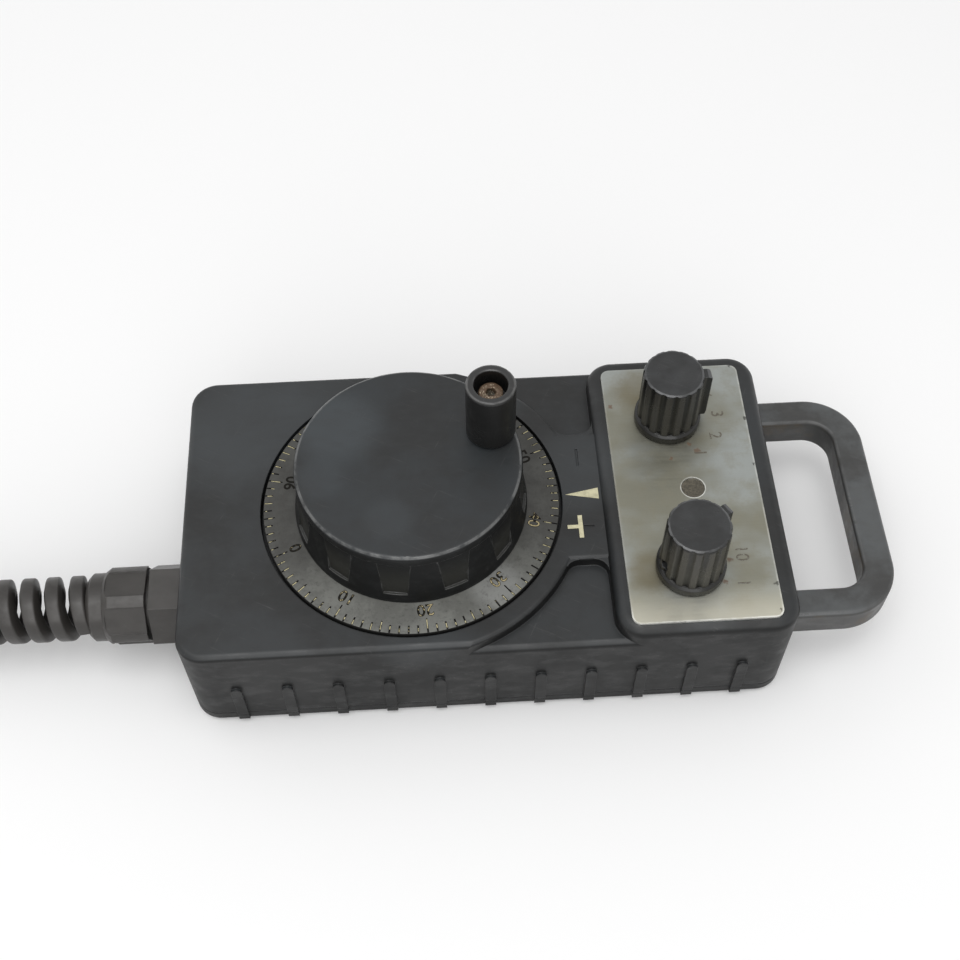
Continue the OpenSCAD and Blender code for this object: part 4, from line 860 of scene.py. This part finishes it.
def groove_length(tree, size, number):
    """Length of a division's groove: short, or longer at every fifth and every tenth."""
    tens = calc(tree, "LESS_THAN", calc(tree, "MODULO", number, 10.0), 0.5)
    fives = calc(tree, "LESS_THAN", calc(tree, "MODULO", number, 5.0), 0.5)
    gain_five = times(tree, fives, calc(tree, "SUBTRACT", size["middle"], size["short"]))
    gain_ten = times(tree, tens, calc(tree, "SUBTRACT", size["long"], size["middle"]))
    return calc(tree, "ADD", size["short"], calc(tree, "ADD", gain_five, gain_ten))


print("sizes of the lines:", len(line_sizes))


# %% Division lines
def division_tree(sizes, material):
    """A bar of paint in each division's groove."""
    tree, given, result = geometry_tree("division_lines", **sizes)
    size = given.outputs
    number = add(tree, "GeometryNodeInputIndex").outputs[0]
    groove = groove_length(tree, size, number)
    left = add(tree, "FunctionNodeRandomValue", {2: 0.2, 3: 1.0, "Seed": 5}, data_type="FLOAT").outputs[1]
    start = add(tree, "FunctionNodeRandomValue", {2: 0.0, 3: 1.0, "Seed": 9}, data_type="FLOAT").outputs[1]
    length = times(tree, groove, left)
    spare = times(tree, calc(tree, "SUBTRACT", groove, length), start)
    step = calc(tree, "DIVIDE", 2 * math.pi, size["divisions"])
    angle = calc(tree, "ADD", size["zero angle"], times(tree, number, step))
    inward = calc(tree, "ADD", times(tree, length, 0.5), spare)
    radius = calc(tree, "SUBTRACT", size["outer radius"], inward)
    spot = {0: times(tree, radius, calc(tree, "COSINE", angle)),
            1: times(tree, radius, calc(tree, "SINE", angle)),
            2: calc(tree, "ADD", size["outer height"], times(tree, inward, size["slope"]))}
    turn = {1: calc(tree, "ARCTANGENT", size["slope"]), 2: angle}
    stretch = {0: length, 1: size["width"], 2: size["thickness"]}
    spot, turn, stretch = [add(tree, "ShaderNodeCombineXYZ", v).outputs[0] for v in (spot, turn, stretch)]
    points = add(tree, "GeometryNodePoints", {"Count": size["divisions"], "Position": spot}).outputs[0]
    rotation = add(tree, "FunctionNodeEulerToRotation", {0: turn}).outputs[0]
    bar = add(tree, "GeometryNodeMeshCube", {"Size": (1, 1, 1)}).outputs[0]
    bars = add(tree, "GeometryNodeInstanceOnPoints",
               {"Points": points, "Instance": bar, "Rotation": rotation, "Scale": stretch}).outputs[0]
    real = add(tree, "GeometryNodeRealizeInstances", {0: bars}).outputs[0]
    done = add(tree, "GeometryNodeSetMaterial", {"Geometry": real, "Material": material}).outputs[0]
    tree.links.new(done, result.inputs[0])
    return tree


dial_lines = bake_tree("dial_line_paint", division_tree(line_sizes, line_paint), line_sizes, line_paint)
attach(dial_lines, "wheel")
print("division lines:", len(dial_lines.data.polygons) // 6)

# %% [markdown]
# ## Numbers on the metal plate
# Each selector has plain numbers round it, worn almost away. They are flat letters a hair above the
# plate, in a print that has lost most of its ink, so the material decides how much is left.

# %% Selector numbers
PRINT_HEIGHT = 2.6
PRINT_CIRCLE = 10.8
PRINTED = ((("6", 93), ("5", 63), ("4", 33), ("3", 3), ("2", -27), ("1", -57)),
           (("100", 49), ("10", 13), ("1", -23)))


def worn_print(name, ink, kept):
    """Ink where it is left, and the bare metal look elsewhere."""
    made, tree, shader = finish(name)
    wear_and_sheen = between(tree, speckle(tree, place(tree), 1.6, 5.0, 0.75), 0.62 - 0.3 * kept, 0.5 - 0.3 * kept)
    tint = blend_colour(tree, wear_and_sheen, ink, (0.30, 0.30, 0.26))
    dress(tree, shader, Base_Color=tint, Metallic=between(tree, wear_and_sheen, 0, 1, 0.1, 0.85),
          Roughness=between(tree, wear_and_sheen, 0, 1, 0.55, 0.42))
    return made


def panel_texts():
    """The numbers round both selectors as entries for lettering, all with their feet towards the dial."""
    entries = []
    for axis, marks in zip(KNOB_AXES, PRINTED):
        for text, degrees in marks:
            angle = math.radians(degrees)
            x = axis.x + PRINT_CIRCLE * math.cos(angle) - PRINT_HEIGHT / 2
            y = axis.y + PRINT_CIRCLE * math.sin(angle)
            stand = Matrix.Translation((x * MM, y * MM, 0)) @ Matrix.Rotation(-math.pi / 2, 4, "Z")
            entries.append((text, PRINT_HEIGHT * MM, stand, 0.02 * MM))
    return entries


plate_print = worn_print("plate_print", (0.115, 0.1, 0.075), 0.4)
plate_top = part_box("panel_plate")[1].z
panel_numbers = lettering("panel_numbers", panel_texts(), plate_print, lambda p: plate_top + 0.015 * MM)
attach(panel_numbers, "case")
print("plate numbers:", sum(len(marks) for marks in PRINTED))

# %% [markdown]
# ## Bend-protection spiral
# Behind the gland's dome nut a moulded spiral lets the cable bend gently. Its shape is a pure rule, a
# rounded bar wound on a cylinder, so Geometry Nodes make it: a helix, a rounded trapezoid profile, and
# Curve to Mesh. The CAD solid has flat facets there; this piece stands for it.

# %% Sizes of the spiral
PITCH = 4.9
SPIRAL_START, SPIRAL_END = 2.15, 37.9
PROFILE_TURN = -math.pi / 2
spiral_sizes = dict(turns=(SPIRAL_END - SPIRAL_START) / PITCH, pitch=PITCH * MM, middle_radius=5.05 * MM,
                    bar_height=3.08 * MM, bar_width=4.4 * MM, crown_width=2.5 * MM, rounding=0.5 * MM,
                    first_turn=SPIRAL_START / PITCH * 2 * math.pi, steps_per_turn=40)
print("spiral turns:", round(spiral_sizes["turns"], 2))


# %% Spiral from Geometry Nodes
def spiral_tree(sizes, material):
    """A rounded trapezoid bar wound on a helix about Z, wide side inwards."""
    tree, given, result = geometry_tree("protection_spiral", **sizes)
    size = given.outputs
    helix = add(tree, "GeometryNodeCurveSpiral",
                {"Resolution": size["steps per turn"], "Rotations": size["turns"],
                 "Start Radius": size["middle radius"], "End Radius": size["middle radius"],
                 "Height": times(tree, size["turns"], size["pitch"]), "Reverse": True}).outputs[0]
    upright = add(tree, "GeometryNodeSetCurveNormal", {"Curve": helix}, mode="Z_UP").outputs[0]
    profile = add(tree, "GeometryNodeCurvePrimitiveQuadrilateral",
                  {"Height": size["bar height"], "Bottom Width": size["bar width"],
                   "Top Width": size["crown width"], "Offset": 0.0}, mode="TRAPEZOID").outputs[0]
    rounded = add(tree, "GeometryNodeFilletCurve",
                  {"Curve": profile, "Radius": size["rounding"], "Count": 3, "Limit Radius": True},
                  mode="POLY").outputs[0]
    turned = add(tree, "GeometryNodeTransform",
                 {"Geometry": rounded, "Rotation": (0, 0, PROFILE_TURN)}).outputs[0]
    bar = add(tree, "GeometryNodeCurveToMesh",
              {"Curve": upright, "Profile Curve": turned, "Fill Caps": True}).outputs[0]
    first = add(tree, "ShaderNodeCombineXYZ", {2: size["first turn"]}).outputs[0]
    rotation = add(tree, "FunctionNodeEulerToRotation", {0: first}).outputs[0]
    spun = add(tree, "GeometryNodeTransform", {"Geometry": bar, "Rotation": rotation}).outputs[0]
    done = add(tree, "GeometryNodeSetMaterial", {"Geometry": spun, "Material": material}).outputs[0]
    tree.links.new(done, result.inputs[0])
    return tree


spiral = bake_tree("protection_spiral", spiral_tree(spiral_sizes, gland_plastic), spiral_sizes, gland_plastic)
spiral_middle = middle("gland_spiral")
spiral_end = corners("gland_spiral")[0].x + SPIRAL_START
onto_gland = Matrix.Translation(Vector((spiral_end, spiral_middle.y, spiral_middle.z)) * MM)
spiral.data.transform(onto_gland @ Matrix.Rotation(math.pi / 2, 4, "Y"))
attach(spiral, "case")
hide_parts("gland_spiral")
print("spiral:", len(spiral.data.polygons), "faces")

# %% [markdown]
# ## The rusty screw head
# The crank's screw stands in the grip's hollow, where sweat has rusted it. The clean CAD head is replaced
# by a lumpy one: a fine disc with a hexagon pushed in, whose points are moved by two sizes of noise.
# Noise that is the same each run comes from mathutils, so no seed is needed.

# %% Outline of the screw head
HEAD_RADIUS = 2.4
HEAD_HEIGHT = 2.4
HEAD_ROUND = 0.42
SOCKET_RADIUS = 1.05
SOCKET_DEPTH = 0.95
HEAD_SPOKES = 72


def head_outline():
    """Points (radius, height below the screw's top) from the head's seat over its top into the socket."""
    face = HEAD_RADIUS - HEAD_ROUND
    path = [(HEAD_RADIUS, HEAD_HEIGHT * (1 - k / 10)) for k in range(9)]
    for k in range(7):
        lean = math.pi / 12 * k
        path.append((HEAD_RADIUS - HEAD_ROUND * (1 - math.cos(lean)), HEAD_ROUND - 0.36 * math.sin(lean)))
    path += [(face - (face - SOCKET_RADIUS) * k / 7, 0.06) for k in range(1, 8)]
    path += [(SOCKET_RADIUS - 0.05 * k, 0.06 + 0.17 * k) for k in range(1, 6)]
    path += [(SOCKET_RADIUS * (0.7 - 0.1 * k), SOCKET_DEPTH) for k in range(7)]
    return path


def head_point(radius, depth, angle):
    """A point of the head in metres: a hexagon in the socket, a circle elsewhere, made lumpy by rust."""
    hexagon = 0.93 / max(math.cos(angle % (math.pi / 3) - math.pi / 6), 0.5)
    reach = radius * MM * (hexagon if radius <= SOCKET_RADIUS * 1.02 else 1.0)
    point = Vector((reach * math.cos(angle), reach * math.sin(angle), (screw_top - depth) * MM))
    lump = noise.noise(point * 900) * 0.16 + noise.noise(point * 2300) * 0.07
    point.z += (lump - 0.17) * MM if radius > 0.2 else 0
    point.x = screw_middle.x * MM + point.x * (1 - max(0, lump) * 0.3)
    point.y = screw_middle.y * MM + point.y * (1 - max(0, lump) * 0.3)
    return point


print("points in the outline:", len(head_outline()))


# %% Screw head
def rusty_head():
    """The screw head as a mesh: its outline turned about the screw's axis, closed below and inside."""
    build = bmesh.new()
    angles = [2 * math.pi * j / HEAD_SPOKES for j in range(HEAD_SPOKES)]
    loops = []
    for radius, depth in head_outline():
        loops.append([build.verts.new(head_point(radius, depth, angle)) for angle in angles])
    for low, high in zip(loops, loops[1:]):
        for j in range(HEAD_SPOKES):
            after = (j + 1) % HEAD_SPOKES
            build.faces.new((low[j], low[after], high[after], high[j]))
    build.faces.new(loops[0][::-1])
    build.faces.new(loops[-1])
    bmesh.ops.triangulate(build, faces=[f for f in build.faces if len(f.verts) > 4])
    bmesh.ops.recalc_face_normals(build, faces=build.faces)
    mesh = bpy.data.meshes.new("rusty_screw_head")
    build.to_mesh(mesh)
    build.free()
    for face in mesh.polygons:
        face.use_smooth = True
    return to_object("rusty_screw_head", mesh, rusty_steel)


screw_head = rusty_head()
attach(screw_head, "wheel")
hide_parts("crank_screw")
print("screw head:", len(screw_head.data.polygons), "faces")

# %% [markdown]
# ## Floor and light
# A pale floor, three broad soft lamps and a white world. One lamp hangs over the near side, one stands
# far to the left behind the case, and the third comes from the front. White surroundings are what the
# dark plastic reflects, so the world stays bright for glossy rays too, though less than it looks itself.


# %% Floor
def floor_finish():
    """Matt, nearly white."""
    made, tree, shader = finish("floor")
    shader.inputs["Base Color"].default_value = (0.93, 0.93, 0.93, 1)
    shader.inputs["Roughness"].default_value = 0.9
    shader.inputs["Specular IOR Level"].default_value = 0.1
    return made


bpy.ops.mesh.primitive_plane_add(size=3, location=(0, 0, 0))
floor = bpy.context.object
floor.name = "floor"
floor.data.materials.append(floor_finish())
print("floor at z", floor.location.z)


# %% Lights
def lamp(name, size, power, where, aim=(0.01, 0, 0.015)):
    """A square lamp of a size in metres that shines from where towards aim."""
    data = bpy.data.lights.new(name, "AREA")
    data.size = size
    data.energy = power
    made = bpy.data.objects.new(name, data)
    bpy.context.scene.collection.objects.link(made)
    made.location = where
    made.rotation_euler = (Vector(aim) - Vector(where)).to_track_quat("-Z", "Y").to_euler()
    return made


lamp("top", 0.7, 4.0, (-0.06, -0.15, 1.05))
lamp("window", 0.9, 1.0, (-0.8, 0.5, 0.8))
lamp("front", 1.0, 4.5, (0.0, -0.95, 0.75))
print("lamps:", len(bpy.data.lights))

# %% World
GLOSSY_SHARE = 0.7
DIFFUSE_SHARE = 0.58
world = bpy.data.worlds.new("studio")
bpy.context.scene.world = world
world.use_nodes = True
sky = world.node_tree
sky.nodes.clear()
rays = add(sky, "ShaderNodeLightPath").outputs
seen = calc(sky, "MAXIMUM", rays["Is Camera Ray"], rays["Is Transmission Ray"])
mirrored = calc(sky, "MULTIPLY", rays["Is Glossy Ray"], GLOSSY_SHARE)
strength = calc(sky, "MAXIMUM", calc(sky, "MAXIMUM", seen, mirrored), DIFFUSE_SHARE)
background = add(sky, "ShaderNodeBackground", {"Color": (1, 1, 1, 1), "Strength": strength})
add(sky, "ShaderNodeOutputWorld", {"Surface": background.outputs[0]})
bpy.context.scene.view_settings.view_transform = "Standard"
print("stage set")
